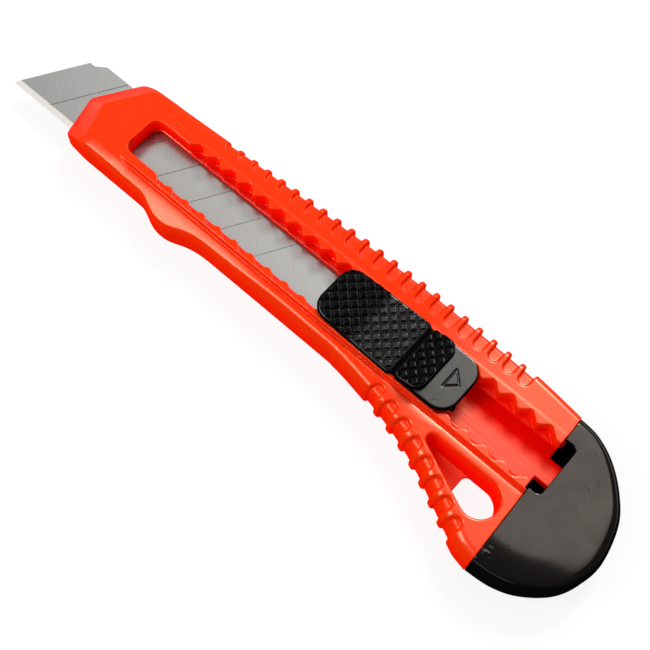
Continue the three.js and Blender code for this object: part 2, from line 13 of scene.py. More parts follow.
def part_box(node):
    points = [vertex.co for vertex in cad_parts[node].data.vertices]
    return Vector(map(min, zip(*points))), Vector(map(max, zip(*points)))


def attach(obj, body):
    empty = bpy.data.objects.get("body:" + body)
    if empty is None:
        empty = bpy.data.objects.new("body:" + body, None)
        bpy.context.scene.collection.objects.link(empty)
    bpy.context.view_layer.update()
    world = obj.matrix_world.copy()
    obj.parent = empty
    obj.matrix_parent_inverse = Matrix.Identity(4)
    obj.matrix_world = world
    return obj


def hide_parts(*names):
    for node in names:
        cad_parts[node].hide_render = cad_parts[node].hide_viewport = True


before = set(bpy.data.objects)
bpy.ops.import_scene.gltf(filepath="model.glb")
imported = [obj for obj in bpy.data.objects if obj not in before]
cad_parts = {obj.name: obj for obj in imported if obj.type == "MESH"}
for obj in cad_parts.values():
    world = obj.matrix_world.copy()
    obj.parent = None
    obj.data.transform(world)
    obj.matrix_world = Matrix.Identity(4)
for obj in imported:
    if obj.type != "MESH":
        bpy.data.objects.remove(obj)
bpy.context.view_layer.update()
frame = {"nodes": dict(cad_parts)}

bl_info = {
    "name": "Snap-off Utility Knife",
    "version": (1, 0, 0),
    "blender": (4, 5, 0),
    "location": "3D Viewport > Sidebar > Knife",
    "description": "Moulds, grinds and stages a snap-off utility knife around its packed CAD frame",
    "category": "Object",
}

# Every length below is in millimetres. X runs from the nose tip to the end cap, Y = 0 is the slot's
# centre line with the blade's spine on +Y, and Z = 0 is the flat underside.
BLADE_OUT = 17.8  # cutting corner ahead of the nose tip

MOUTH_X = 135.75  # where the end cap's mouth crosses the centre line
MOUTH_SLANT = math.radians(1.7)
MOUTH_GAP = 0.01
SPINE_SIDE_EDGE = [
    (34.1, 12.7), (60.1, 14.35), (80.1, 15.25), (95.1, 15.4), (110.1, 15.15), (123.1, 14.6), (135.4, 13.35),
]
GRIP_SIDE_EDGE = [
    (136.5, -26.75), (133, -26.1), (131.2, -25.4), (127.4, -23.6), (123, -21.5), (118.6, -19.4),
    (114.5, -17.6), (110, -16), (105.8, -14.75), (101.5, -13.7), (97.3, -12.8), (93, -12.05), (90, -11.6),
    (86.5, -11.25), (83, -11.1), (55, -11.1), (47, -11.2), (43, -11.85), (40, -12.95), (38, -13.55),
    (36, -13.7), (34, -13.5), (32, -12.85), (30, -11.95), (28, -11.3), (25, -11.2),
]
RUN_OUT = [(160, 9.3), (160, -32)]
NOSE_NEAR_CORNER = (3, -11.2)
NOSE_TIP = (0, 0)
NOSE_FAR_CORNER = (6.8, 11.2)
NOSE_CORNER_ROUND = 2
NOSE_TIP_ROUND = 0.9
NOSE_BEVEL_DEPTH = 3.2
NOSE_BEVEL_WIDTH = (5, 5.3)  # in plan on the spine side, and on the grip side at the tip
NOSE_BEVEL_SPREAD = 0.18  # how much the grip side's widens for each millimetre from the tip
NOSE_BEVEL_ROUND = 0.55
NOSE_RAMP = (24, 17)  # the flanks climb to the nose's height between these stations

UNDERSIDE_ROUND = 1.8
GRIP_EDGE_ROUND = 0.9  # near the nose
GRIP_EDGE_GROWTH = [(1.1, 50, 75), (1, 95, 115)]  # by how much it grows, and between which stations
TRACK_STEP = (0.4, 0.7)  # share of the track's rise that drops at its edge, spine side and grip side
TRACK_STEP_RUN = 0.25
TRACK_STEP_OUT = 0.12
FACET_SLOPE = 0.2  # the grip side leans away beside the track, ever steeper
FACET_CURVE = 0.026
FACET_OUT = 0.7
FACET_RUN = (84, 54)  # it grows forwards between these stations
GROOVE_DEPTH = 0.6
GROOVE_HALF_WIDTH = 0.5
GROOVE_FLANK = 0.3
GROOVE_OUT = 0.4  # from the track's edge to the middle of the groove beside it
GROOVE_RUN = (18, 24)

SLOT_FRONT = 17.2
SLOT_ROUND = 2.2
SLOT_END = 200  # beyond the mouth
TOOTH_HALF_GAP = 5.35
TOOTH_ROUND = (0.8, 1.4)  # spine side and grip side
NOTCH_ROUND = 0.6
NOTCH_HALF_GAP = 7
NOTCH_MOUTH = 4.7
NOTCH_FLOOR = 0.8
FIRST_NOTCH = 30.3
NOTCH_COUNT = 21
RAIL_TOP = 6.15
RAIL_UNDERSIDE = 5.3
RAIL_HALF_GAP = 4.95
CHANNEL_FLOOR = 4.2
CHANNEL_SIDES = (-8.95, 9.55)
CHANNEL_RIM = 0.12
MOUTH_RIM = 0.1
FLOOR_SETBACK = 0.7
FLOOR_STEP = (1.9, 0.35)  # above this height the floor ends this much further back, over the cap's lip
FLOOR_EDGE = 0.4
TONGUE_SIDES = (-2, 3.2)
TONGUE_REACH = 7

SPINE_RIB_FIRST = 35.8
SPINE_RIB_COUNT = 22
SPINE_RIB_ROOT = 10.2
GRIP_RIB_FIRST = 98.9
GRIP_RIB_COUNT = 8
GRIP_RIB_LENGTH = 3.3
RIB_RIM_ROUND = (0.45, 0.6)  # spine side and grip side
RIB_ROOT_ROUND = 0.3
RIB_FRONT_SHARE = 0.6  # of the flutes' full depth, before they deepen between these stations
RIB_FRONT_RUN = (38, 60)
RIB_ROOT_SHARE = 0.8  # of the flutes' depth at their roots, and what each millimetre outwards adds
RIB_ROOT_GROWTH = 0.09
RIB_ROOT_RUN = 5

POCKET_FLOOR = 1.1
POCKET_TOP = -10.6
POCKET_TIP_X = 108.3
POCKET_END_X = 134.1
POCKET_LOW_Y = -21.5
POCKET_TIP_ROUND = 1.35
POCKET_END_ROUND = 4.3
HOLE_START = 124.2
HOLE_ROUND = 1.5
HOLE_RIM = 0.25

CAP_EDGE = [
    (135.4, 13.35), (140.1, 12.8), (145.2, 10.5), (150.2, 6.3), (154.4, 0.5), (156.5, -7.6), (156, -13.6),
    (153.3, -19.1), (148, -23.7), (142.5, -26), (136.5, -26.75),
]
CAP_ROOT = [(115.7, -26.75), (115.7, 13.35)]
CAP_NOTCH = (3, 6.6, 1.2)  # depth, half width and corner
CAP_SCUFF = (137.9, -22.4, 9.3)
CAP_CROWN = 0.0085  # the top falls by this times the square of how far it is into the run to the rim
CAP_CROWN_RUN = 8
CAP_INNER_ROUND = 1.2
CAP_NOTCH_RIM = 0.15
CAP_LIP_HALF_WIDTH = 7.26
CAP_LIP_GAP = 0.04
CAP_FIT = 0.3  # clearance round the spigots
SPIGOT_REACH = (6.5, 0.5)  # beyond the mouth, outside the shoulder and inside it
SPIGOT_SHOULDER = 9.2
SPIGOT_ROOT = 0.8
SPIGOT_INNER = 7.4  # the two spigots stand outside this, on either side of the centre line

PAD_FRONT = 76.3
PAD_LENGTH = 22.5  # under the studs, up to the gap before the lock pad
PAD_RAMP_LENGTH = 11.1
PAD_HALF_WIDTH = (6.8, 7.4)  # at its front and rear
PAD_ROUND = (4, 0.8)
PAD_RIM = 0.3
LOCK_FRONT = 99.4
LOCK_HALF_WIDTH = 7
LOCK_ROUND = 0.9
LOCK_PAD = (7.2, 2.6)  # length and rear corners of the raised pad
LOCK_TAB = (14.4, 4.2)  # the same for the whole slide
SLIDE_UNDERSIDE = 10
SLIDE_ROOT = SLIDE_UNDERSIDE + 0.5  # how far up the pieces below a slide reach into it
PAD_GAP = 0.45  # what the lock pad is set back from the front of its own foot
FEET_MEET = LOCK_FRONT - 0.1
FLARE = 0.2
ARROW = [(109.2, -2.1), (109.2, 2.9), (111.8, 0.4)]
ARROW_DEPTH = 0.35
PAD_STUD_ROWS = 22
LOCK_STUD_ROWS = 14
PAD_STUD_INSET = 0.25  # from a pad's edge to where its studs are trimmed
LOCK_STUD_INSET = 0.2
STUD_TRIM = (9.5, 16)  # the heights that the trimming reaches from and to
SAME_POINT = 0.0001  # neighbours on an outline that are nearer than this are one
PAINTED_SHEEN_START = -0.6  # from the pad's crease to where the studs' painted sheen begins
LUG_CREST = (113.8, 0.7)  # station, and height above the slide's underside
LUG_SLOPE = 0.8  # how fast its top falls towards the rear
LUG_LEAN = 0.78  # turns that fall into a distance

# Blocks of the slides, by two opposite corners.
THUMB_BOSS = (82, -4, 7), (98.2, 4, SLIDE_ROOT)
THUMB_GUIDE = (96.2, -2.2, 8), (108.6, 2.2, 9.3)
THUMB_FOOT = (98, -7, SLIDE_UNDERSIDE), (FEET_MEET, 7, SLIDE_ROOT)
LOCK_FOOT = (FEET_MEET, -6.9, SLIDE_UNDERSIDE), (LOCK_FRONT + 2, 6.9, SLIDE_ROOT)
LOCK_WEDGE = (LOCK_FRONT, -4, 7), (LOCK_FRONT + 10, 4, SLIDE_ROOT)
LOCK_LUG = (112.5, -4.8, SLIDE_UNDERSIDE), (114.3, -3.6, SLIDE_UNDERSIDE + 0.8)
LOCK_TUNNEL = (-2.5, 2.5), (7.7, 9.6)  # across and in height, where the thumb slide's guide runs
THUMB_PEG = 13.6, 1.3, (5.3, 8)  # behind the pad's front, radius, and height from and to


# ---------- Curves and outlines in plan ----------


def spline(points, steps=12):
    """Points along a smooth curve through the given ones."""
    p = np.array(points, dtype=float)
    p = np.vstack([p[0], p, p[-1]])
    t = np.arange(steps)[:, None] / steps
    spans = []
    for a, b, c, d in zip(p, p[1:], p[2:], p[3:]):
        slope_b, slope_c = (c - a) / 2, (d - b) / 2
        cubic = (2 * b - 2 * c + slope_b + slope_c) * t**3
        square = (-3 * b + 3 * c - 2 * slope_b - slope_c) * t**2
        spans.append(cubic + square + slope_b * t + b)
    return np.vstack([*spans, p[-1:]])


def rounded_outline(corners, arc_steps=10):
    """A closed outline of (x, y, corner radius) points, with the corners as arcs."""
    path = []
    for index, (x, y, radius) in enumerate(corners):
        corner = np.array([x, y], dtype=float)
        if radius == 0:
            path.append(corner)
            continue
        back = np.array(corners[index - 1][:2]) - corner
        ahead = np.array(corners[(index + 1) % len(corners)][:2]) - corner
        back, ahead = back / np.linalg.norm(back), ahead / np.linalg.norm(ahead)
        half = math.acos(np.clip(back @ ahead, -1, 1)) / 2
        middle = (back + ahead) / np.linalg.norm(back + ahead)
        centre = corner + middle * radius / math.sin(half)
        start = corner + back * radius / math.tan(half) - centre
        end = corner + ahead * radius / math.tan(half) - centre
        first = math.atan2(start[1], start[0])
        turn = (math.atan2(end[1], end[0]) - first + math.pi) % (2 * math.pi) - math.pi
        for step in range(arc_steps + 1):
            angle = first + turn * step / arc_steps
            path.append(centre + radius * np.array([math.cos(angle), math.sin(angle)]))
    return np.array(path)


def mouth_at(y):
    return MOUTH_X - y * math.tan(MOUTH_SLANT)


def handle_outline():
    rounds = (NOSE_CORNER_ROUND, NOSE_TIP_ROUND, NOSE_CORNER_ROUND)
    nose = [(*at, rounding) for at, rounding in zip((NOSE_NEAR_CORNER, NOSE_TIP, NOSE_FAR_CORNER), rounds)]
    long_edges = [*spline(SPINE_SIDE_EDGE), *RUN_OUT, *spline(GRIP_SIDE_EDGE, 6)]
    return rounded_outline([*nose, *((x, y, 0) for x, y in long_edges)])


def slot_ends(half_gap):
    front = [(SLOT_FRONT, half_gap, SLOT_ROUND), (SLOT_FRONT, -half_gap, SLOT_ROUND)]
    rear = [(SLOT_END, -half_gap, 0), (SLOT_END, half_gap, 0)]
    return front, rear


def slot_outline(pitch):
    flank = (NOTCH_HALF_GAP - TOOTH_HALF_GAP) / (NOTCH_MOUTH - NOTCH_FLOOR) * 2
    tip_half_gap = TOOTH_HALF_GAP - flank * (pitch - NOTCH_MOUTH) / 2

    def rack(side):
        tip_round = TOOTH_ROUND[0] if side > 0 else TOOTH_ROUND[1]
        yield FIRST_NOTCH - NOTCH_MOUTH / 2, side * TOOTH_HALF_GAP, tip_round
        for index in range(NOTCH_COUNT):
            centre = FIRST_NOTCH + index * pitch
            yield centre - NOTCH_FLOOR / 2, side * NOTCH_HALF_GAP, NOTCH_ROUND
            yield centre + NOTCH_FLOOR / 2, side * NOTCH_HALF_GAP, NOTCH_ROUND
            yield centre + pitch / 2, side * tip_half_gap, tip_round

    front, rear = slot_ends(TOOTH_HALF_GAP)
    return rounded_outline([*front, *rack(-1), *rear, *reversed(list(rack(1)))], 3)


def pocket_outline():
    return rounded_outline([
        (POCKET_TIP_X, POCKET_TOP, POCKET_TIP_ROUND),
        (POCKET_END_X, POCKET_LOW_Y, POCKET_END_ROUND),
        (POCKET_END_X, POCKET_TOP, POCKET_END_ROUND),
    ])


def hole_outline():
    slope = (POCKET_LOW_Y - POCKET_TOP) / (POCKET_END_X - POCKET_TIP_X)
    low_start = POCKET_TOP + slope * (HOLE_START - POCKET_TIP_X)
    return rounded_outline([
        (HOLE_START, POCKET_TOP, HOLE_ROUND),
        (HOLE_START, low_start, HOLE_ROUND),
        (POCKET_END_X, POCKET_LOW_Y, POCKET_END_ROUND),
        (POCKET_END_X, POCKET_TOP, POCKET_END_ROUND),
    ])


def grip_rib_stations(pitch):
    """Where each flute of the grip side meets the edge, and which way it faces."""
    edge = spline(GRIP_SIDE_EDGE)[::-1]
    steps = np.linalg.norm(np.diff(edge, axis=0), axis=1)
    along = np.concatenate([[0], np.cumsum(steps)])
    first = np.interp(GRIP_RIB_FIRST, edge[:, 0], along)
    for index in range(GRIP_RIB_COUNT):
        at = first + index * pitch
        point = np.array([np.interp(at, along, edge[:, axis]) for axis in (0, 1)])
        ahead = np.array([np.interp(at + 0.5, along, edge[:, axis]) for axis in (0, 1)])
        tangent = (ahead - point) / np.linalg.norm(ahead - point)
        yield point, np.array([tangent[1], -tangent[0]])


# ---------- Distance fields: negative inside the material ----------


def outline_distance(outline, x, y):
    """Distance in plan to a closed outline."""
    nearest = np.full(np.broadcast(x, y).shape, np.inf, dtype=np.float32)
    inside = np.zeros(nearest.shape, dtype=bool)
    for (ax, ay), (bx, by) in zip(outline, np.roll(outline, -1, axis=0)):
        dx, dy = bx - ax, by - ay
        along = np.clip(((x - ax) * dx + (y - ay) * dy) / (dx * dx + dy * dy), 0, 1)
        nearest = np.minimum(nearest, (x - ax - along * dx) ** 2 + (y - ay - along * dy) ** 2)
        if dy:
            inside ^= ((ay > y) != (by > y)) & (x < ax + (y - ay) * dx / dy)
    return np.where(inside, -1, 1) * np.sqrt(nearest)


def both(a, b, radius):
    """Where both hold, with their outer edge rounded."""
    corner = np.hypot(np.maximum(a + radius, 0), np.maximum(b + radius, 0))
    return np.minimum(np.maximum(a, b), -radius) + corner


def either(a, b, radius):
    """Where either holds, with a fillet between them."""
    corner = np.hypot(np.maximum(radius - a, 0), np.maximum(radius - b, 0))
    return np.maximum(np.minimum(a, b), radius) - corner


def cut(a, b, radius):
    """a without b, with the rim of the cut rounded."""
    return both(a, -b, radius)


def fade(value, width):
    """0 below zero, 1 above width, and smooth between."""
    t = np.clip(value / width, 0, 1)
    return t * t * (3 - 2 * t)


def between(value, start, end):
    """0 before start, 1 beyond end, and smooth between. The start may be the higher one."""
    return fade(value - start, end - start)


def slab(value, low, high):
    return np.maximum(low - value, value - high)


def handle_body(x, y, z, s):
    """The closed body, before its ribs, slot and pocket are cut."""
    wall = outline_distance(handle_outline(), x, y)
    step_at = s.track_half_width + TRACK_STEP_OUT
    spine_drop, grip_drop = TRACK_STEP
    far_step = 1 - spine_drop + spine_drop * fade(step_at - y, TRACK_STEP_RUN)
    near_step = 1 - grip_drop + grip_drop * fade(step_at + y, TRACK_STEP_RUN)
    raised = np.maximum(np.minimum(far_step, near_step), between(x, *NOSE_RAMP))
    run = np.maximum(-s.track_half_width - FACET_OUT - y, 0)
    facet = (FACET_SLOPE * run + FACET_CURVE * run**2) * between(x, *FACET_RUN)
    off_groove = np.abs(y + s.track_half_width + GROOVE_OUT)
    groove = GROOVE_DEPTH * fade(GROOVE_HALF_WIDTH - off_groove, GROOVE_FLANK) * between(x, *GROOVE_RUN)
    top = s.thickness + s.track_rise * raised - facet - groove
    grip_edge = GRIP_EDGE_ROUND
    for growth, start, end in GRIP_EDGE_GROWTH:
        grip_edge = grip_edge + growth * between(x, start, end)
    edge = np.where(y > 0, s.edge_round, grip_edge)
    body = both(wall, z - top, edge)
    body = both(body, -z, UNDERSIDE_ROUND)
    nose_top, depth = s.thickness + s.track_rise, NOSE_BEVEL_DEPTH
    grip_width = NOSE_BEVEL_WIDTH[1] + NOSE_BEVEL_SPREAD * np.clip(-y, 0, -NOSE_NEAR_CORNER[1])
    sides = ((NOSE_FAR_CORNER, 1, NOSE_BEVEL_WIDTH[0]), (NOSE_NEAR_CORNER, -1, grip_width))
    for corner, side, width in sides:
        length = math.hypot(*corner)
        outwards = (-abs(corner[1]) * x + corner[0] * y * side) / length
        lean = np.hypot(width, depth)
        body = both(body, (depth * outwards + width * (z - nose_top + depth)) / lean, NOSE_BEVEL_ROUND)
        body = both(body, (depth * outwards + width * (depth - z)) / lean, NOSE_BEVEL_ROUND)
    return body


def flutes_in_plan(x, y, s):
    """Distance in plan to the flutes between the ribs of both sides."""
    index = np.clip(np.round((x - SPINE_RIB_FIRST) / s.spine_rib_pitch), 0, SPINE_RIB_COUNT - 1)
    across = x - SPINE_RIB_FIRST - index * s.spine_rib_pitch
    half = s.rib_width / 2
    flutes = np.hypot(across, np.minimum(y - SPINE_RIB_ROOT - half, 0)) - half
    for point, outwards in grip_rib_stations(s.grip_rib_pitch):
        beyond_root = (x - point[0]) * outwards[0] + (y - point[1]) * outwards[1] + GRIP_RIB_LENGTH - half
        sideways = (x - point[0]) * outwards[1] - (y - point[1]) * outwards[0]
        flutes = np.minimum(flutes, np.hypot(sideways, np.minimum(beyond_root, 0)) - half)
    return flutes


def flute_depth(x, y, s):
    """The flutes are shallower towards the front and towards their roots."""
    front = RIB_FRONT_SHARE + (1 - RIB_FRONT_SHARE) * between(x, *RIB_FRONT_RUN)
    root = RIB_ROOT_SHARE + RIB_ROOT_GROWTH * np.clip(y - SPINE_RIB_ROOT, 0, RIB_ROOT_RUN)
    return s.rib_depth * front * root


def spigots_distance(x, y, z, cap, inset):
    """The two blocks on the handle's rear that the cap is pushed over."""
    cavity = outline_distance(cap_outline(), x, y) + inset
    spigots = both(cavity, slab(z, inset, cap.thickness - inset), CAP_INNER_ROUND)
    end = np.where(np.abs(y) > SPIGOT_SHOULDER, *SPIGOT_REACH)
    reach = slab(x - mouth_at(y), -SPIGOT_ROOT, end)
    return np.maximum(spigots, np.maximum(reach, SPIGOT_INNER - np.abs(y)))


def handle_distance(x, y, z, s, cap):
    body = handle_body(x, y, z, s)
    fluted = cut(body, flutes_in_plan(x, y, s), np.where(y > 0, *RIB_RIM_ROUND))
    handle = either(fluted, body + flute_depth(x, y, s), RIB_ROOT_ROUND)
    behind = (x - mouth_at(y)) * math.cos(MOUTH_SLANT)
    handle = both(handle, behind, MOUTH_RIM)

    slot = np.maximum(outline_distance(slot_outline(s.tooth_pitch), x, y), RAIL_TOP - z)
    handle = cut(handle, slot, s.rim_round)
    front, rear = slot_ends(RAIL_HALF_GAP)
    gap = np.maximum(outline_distance(rounded_outline([*front, *rear]), x, y), CHANNEL_FLOOR - z)
    channel = np.maximum(slab(y, *CHANNEL_SIDES), slab(z, CHANNEL_FLOOR, RAIL_UNDERSIDE))
    handle = cut(handle, np.minimum(gap, channel), CHANNEL_RIM)

    pocket = np.maximum(outline_distance(pocket_outline(), x, y), POCKET_FLOOR - z)
    handle = cut(handle, pocket, s.pocket_round)
    handle = cut(handle, outline_distance(hole_outline(), x, y), HOLE_RIM)

    inset = cap.wall + CAP_FIT
    handle = np.minimum(handle, spigots_distance(x, y, z, cap, inset))
    floor_end = mouth_at(0) - FLOOR_SETBACK
    step_height, step = FLOOR_STEP
    over_lip = floor_end + np.where(z > step_height, step, 0)
    handle = np.maximum(handle, -np.maximum(over_lip - x, np.abs(y) - s.track_half_width + FLOOR_EDGE))
    tongue = np.maximum(slab(x, floor_end - 2, mouth_at(0) + TONGUE_REACH), slab(y, *TONGUE_SIDES))
    return np.minimum(handle, np.maximum(tongue, slab(z, inset, CHANNEL_FLOOR)))


def cap_outline():
    return np.vstack([spline(CAP_EDGE), CAP_ROOT])


def cap_distance(x, y, z, s):
    wall = outline_distance(cap_outline(), x, y)
    crown = CAP_CROWN * np.maximum(CAP_CROWN_RUN + wall, 0) ** 2
    shell = both(wall, slab(z, 0, s.thickness - crown), s.edge_round)
    shell = both(shell, mouth_at(y) + MOUTH_GAP - x, MOUTH_RIM)
    hollow = both(wall + s.wall, slab(z, s.wall, s.thickness - s.wall), CAP_INNER_ROUND)
    depth, half_width, corner = CAP_NOTCH
    notch = outline_distance(rounded_outline([
        (MOUTH_X - 5, half_width, 0), (MOUTH_X - 5, -half_width, 0),
        (MOUTH_X + depth, -half_width, corner), (MOUTH_X + depth, half_width, corner),
    ]), x, y)
    shell = cut(cut(shell, hollow, MOUTH_RIM), np.maximum(notch, s.thickness / 2 - z), CAP_NOTCH_RIM)
    lip_low = mouth_at(0) - FLOOR_SETBACK + CAP_LIP_GAP, -CAP_LIP_HALF_WIDTH, 0.1
    lip_high = mouth_at(0) + 1, CAP_LIP_HALF_WIDTH, s.wall
    return np.minimum(shell, block(x, y, z, lip_low, lip_high))


def pad_plan():
    front, rear = PAD_HALF_WIDTH
    end = PAD_FRONT + PAD_LENGTH
    front_round, rear_round = PAD_ROUND
    return rounded_outline([
        (PAD_FRONT, -front, front_round), (end, -rear, rear_round),
        (end, rear, rear_round), (PAD_FRONT, front, front_round),
    ])


def lock_plan(length, corner):
    """The lock slide's outline up to a length behind its front, with its rear corners rounded."""
    half, front, end = LOCK_HALF_WIDTH, LOCK_FRONT + PAD_GAP, LOCK_FRONT + length
    return rounded_outline([
        (front, -half, LOCK_ROUND), (end, -half, corner), (end, half, corner), (front, half, LOCK_ROUND),
    ])


def block(x, y, z, low, high):
    sides = np.maximum(slab(x, low[0], high[0]), slab(y, low[1], high[1]))
    return np.maximum(sides, slab(z, low[2], high[2]))


def pad_top(x, s):
    """Height of the front pad's groove floor along its length."""
    ramp = np.clip(1 - (x - PAD_FRONT) / PAD_RAMP_LENGTH, 0, 1)
    return SLIDE_UNDERSIDE + s.plate + s.front_rise * ramp - s.stud_height


def flare(z):
    """How far a slide's side stands out at its foot."""
    return FLARE * fade(SLIDE_UNDERSIDE + 0.9 - z, 0.5)


def thumb_slide_distance(x, y, z, s):
    plate = both(outline_distance(pad_plan(), x, y) - flare(z), z - pad_top(x, s), PAD_RIM)
    plate = np.maximum(plate, SLIDE_UNDERSIDE - z)
    blocks = [block(x, y, z, *corners) for corners in (THUMB_BOSS, THUMB_GUIDE, THUMB_FOOT)]
    behind, radius, height = THUMB_PEG
    peg = np.maximum(np.hypot(x - PAD_FRONT - behind, y) - radius, slab(z, *height))
    return np.minimum.reduce([plate, *blocks, peg])


def lock_pad_top(x, s):
    """Height of the lock pad's groove floor: it climbs towards the rear."""
    t = (x - LOCK_FRONT) / LOCK_PAD[0]
    return SLIDE_UNDERSIDE + s.plate + s.lock_low + (s.lock_high - s.lock_low) * t - s.stud_height


def lock_slide_distance(x, y, z, s):
    plate = both(outline_distance(lock_plan(*LOCK_TAB), x, y) - flare(z), z - SLIDE_UNDERSIDE - s.plate, 0.25)
    groove = np.abs(outline_distance(np.array(ARROW), x, y)) - s.arrow_line / 2
    plate = cut(plate, np.maximum(groove, SLIDE_UNDERSIDE + s.plate - ARROW_DEPTH - z), 0.05)
    lean = math.hypot(1, (s.lock_high - s.lock_low) / LOCK_PAD[0])
    pad = both(outline_distance(lock_plan(*LOCK_PAD), x, y), (z - lock_pad_top(x, s)) / lean, PAD_RIM)
    crest, height = LUG_CREST
    lug_top = (z - SLIDE_UNDERSIDE - height + (x - crest) * LUG_SLOPE) * LUG_LEAN
    lug = np.maximum(block(x, y, z, *LOCK_LUG), lug_top)
    foot = block(x, y, z, *LOCK_FOOT)
    slide = np.maximum(np.minimum.reduce([either(plate, pad, 0.15), lug, foot]), SLIDE_UNDERSIDE - z)
    across, height = LOCK_TUNNEL
    tunnel = np.maximum(slab(y, *across), slab(z, *height))
    return np.maximum(np.minimum(slide, block(x, y, z, *LOCK_WEDGE)), -tunnel)


# ---------- Meshes ----------

blade_low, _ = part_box("blade")
pad_low, pad_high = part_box("thumb_slide")
ORIGIN = np.array([blade_low.x * 1000 + BLADE_OUT, (pad_low.y + pad_high.y) * 500, 0])
NORMAL_REACH = 0.6  # grid cells from a point to where its normal is measured

# For each moulding: the box it is meshed in, its grid's steps and the most triangles it may have.
MOULDS = {
    "handle_body": ((-0.8, -28, -0.6), (144, 17, 10.6), (0.2, 0.2, 0.17), 190000),
    "end_cap_shell": ((134.4, -28, -0.6), (157.6, 14.4, 10.4), (0.2, 0.2, 0.2), 110000),
    "thumb_pad": ((75.8, -8, 5), (109.2, 8, 12.6), (0.16, 0.16, 0.14), 90000),
    "lock_pad": ((98.9, -7.6, 6.6), (114.9, 7.6, 14), (0.16, 0.16, 0.14), 70000),
}


def to_scene(points):
    """Millimetres in the part's own axes to metres in the frame."""
    return (np.asarray(points) + ORIGIN) / 1000


def sampled(field, at):
    """The field's value between its grid points."""
    limit = np.array(field.shape) - 1.001
    at = np.clip(at, 0, limit)
    cell = at.astype(int)
    share = at - cell
    value = 0
    for corner in np.ndindex(2, 2, 2):
        weight = np.prod(np.where(corner, share, 1 - share), axis=1)
        value = value + weight * field[tuple((cell + corner).T)]
    return value


def moulded_mesh(name, distance):
    """A closed mesh of a distance field, thinned on its flats, with normals from the field."""
    low, high, step, most_triangles = MOULDS[name]
    step = np.array(step)
    axes = [np.arange(a, b, s, dtype=np.float32) for a, b, s in zip(low, high, step)]
    x, y, z = np.meshgrid(*axes, indexing="ij", sparse=True)
    field = np.broadcast_to(distance(x, y, z), [len(axis) for axis in axes])
    field = np.ascontiguousarray(field, dtype=np.float32)
    grid = openvdb.FloatGrid(float(field.max()))
    grid.copyFromArray(field)
    points, triangles, quads = grid.convertToPolygons(isovalue=0, adaptivity=0)
    mesh = bpy.data.meshes.new(name)
    mesh.from_pydata(to_scene(points * step + low), [], [*triangles.tolist(), *quads.tolist()])
    raw = bpy.data.objects.new(name, mesh)
    bpy.context.scene.collection.objects.link(raw)
    count = len(triangles) + 2 * len(quads)
    if count > most_triangles:
        thin = raw.modifiers.new("thin", "DECIMATE")
        thin.ratio = most_triangles / count
    evaluated = raw.evaluated_get(bpy.context.evaluated_depsgraph_get())
    thinned = bpy.data.meshes.new_from_object(evaluated)
    bpy.data.objects.remove(raw)
    place = np.empty(len(thinned.vertices) * 3, dtype=np.float32)
    thinned.vertices.foreach_get("co", place)
    at = (place.reshape(-1, 3) * 1000 - ORIGIN - low) / step
    nudges = np.eye(3) * NORMAL_REACH
    slope = np.stack([sampled(field, at + d) - sampled(field, at - d) for d in nudges], axis=1) / step
    slope /= np.maximum(np.linalg.norm(slope, axis=1, keepdims=True), 1e-9)
    thinned.shade_smooth()
    thinned.normals_split_custom_set_from_vertices(slope)
    return thinned


def piece(name, mesh, body, slot, *replaced):
    """Puts a finished mesh into the scene as a piece that rides on a body."""
    made = bpy.data.objects.new(name, mesh)
    bpy.context.scene.collection.objects.link(made)
    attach(made, body)
    if replaced:
        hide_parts(*replaced)
    return made


# ---------- Materials ----------

# Node settings that come back again and again.
SUM = {"operation": "ADD"}
MULTIPLY = {"operation": "MULTIPLY"}
LARGER = {"operation": "MAXIMUM"}
FLIPPED = {"To Min": 1, "To Max": 0}
EVEN = (1, 1, 1)  # a pattern that isn't drawn out
WHITE = (1, 1, 1)

ABS_IOR = 1.53
BLADE_BEVEL = 1.5


def linear(colour):
    """An sRGB hex colour as the linear values that Blender works in."""
    channels = [int(colour[i : i + 2], 16) / 255 for i in (1, 3, 5)]
    return [c / 12.92 if c <= 0.04045 else ((c + 0.055) / 1.055) ** 2.4 for c in channels]


def output_of(source):
    """A socket as it is, or the first output in use of a node."""
    if isinstance(source, bpy.types.NodeSocket):
        return source
    return next(output for output in source.outputs if output.enabled)


def add(tree, kind, settings=None, **sources):
    """Adds a node. settings holds its properties and socket values, sources what feeds each socket.

    A socket goes by its name, with _ for a space, or by _ and its number.
    """
    node = tree.nodes.new(kind)
    for key, value in (settings or {}).items():
        if isinstance(key, int) or key in node.inputs:
            node.inputs[key].default_value = value
        else:
            setattr(node, key, value)
    for key, source in sources.items():
        name = int(key[1:]) if key[1:].isdigit() else key.replace("_", " ")
        tree.links.new(output_of(source), node.inputs[name])
    return node


def new_material(name):
    material = bpy.data.materials.new(name)
    material.use_nodes = True
    material.node_tree.nodes.clear()
    return material, material.node_tree


def dress(obj, material):
    obj.data.materials.clear()
    obj.data.materials.append(material)


def finish_material(tree, shader):
    add(tree, "ShaderNodeOutputMaterial", Surface=shader)


def shade(colour, share):
    """A colour darkened to a share of itself."""
    return [channel * share for channel in colour]


def grain(tree, size, stretch, detail=2.0, turn=0.0):
    """Noise with features of a size in millimetres, drawn out along axes that are turned about Z."""
    place = add(tree, "ShaderNodeTexCoord").outputs["Object"]
    turned = add(tree, "ShaderNodeMapping", {"Rotation": (0, 0, -turn)}, Vector=place)
    drawn_out = add(tree, "ShaderNodeMapping", {"Scale": stretch}, Vector=turned)
    settings = {"Scale": 1000 / size, "Detail": detail, "Roughness": 0.6}
    return add(tree, "ShaderNodeTexNoise", settings, Vector=drawn_out)


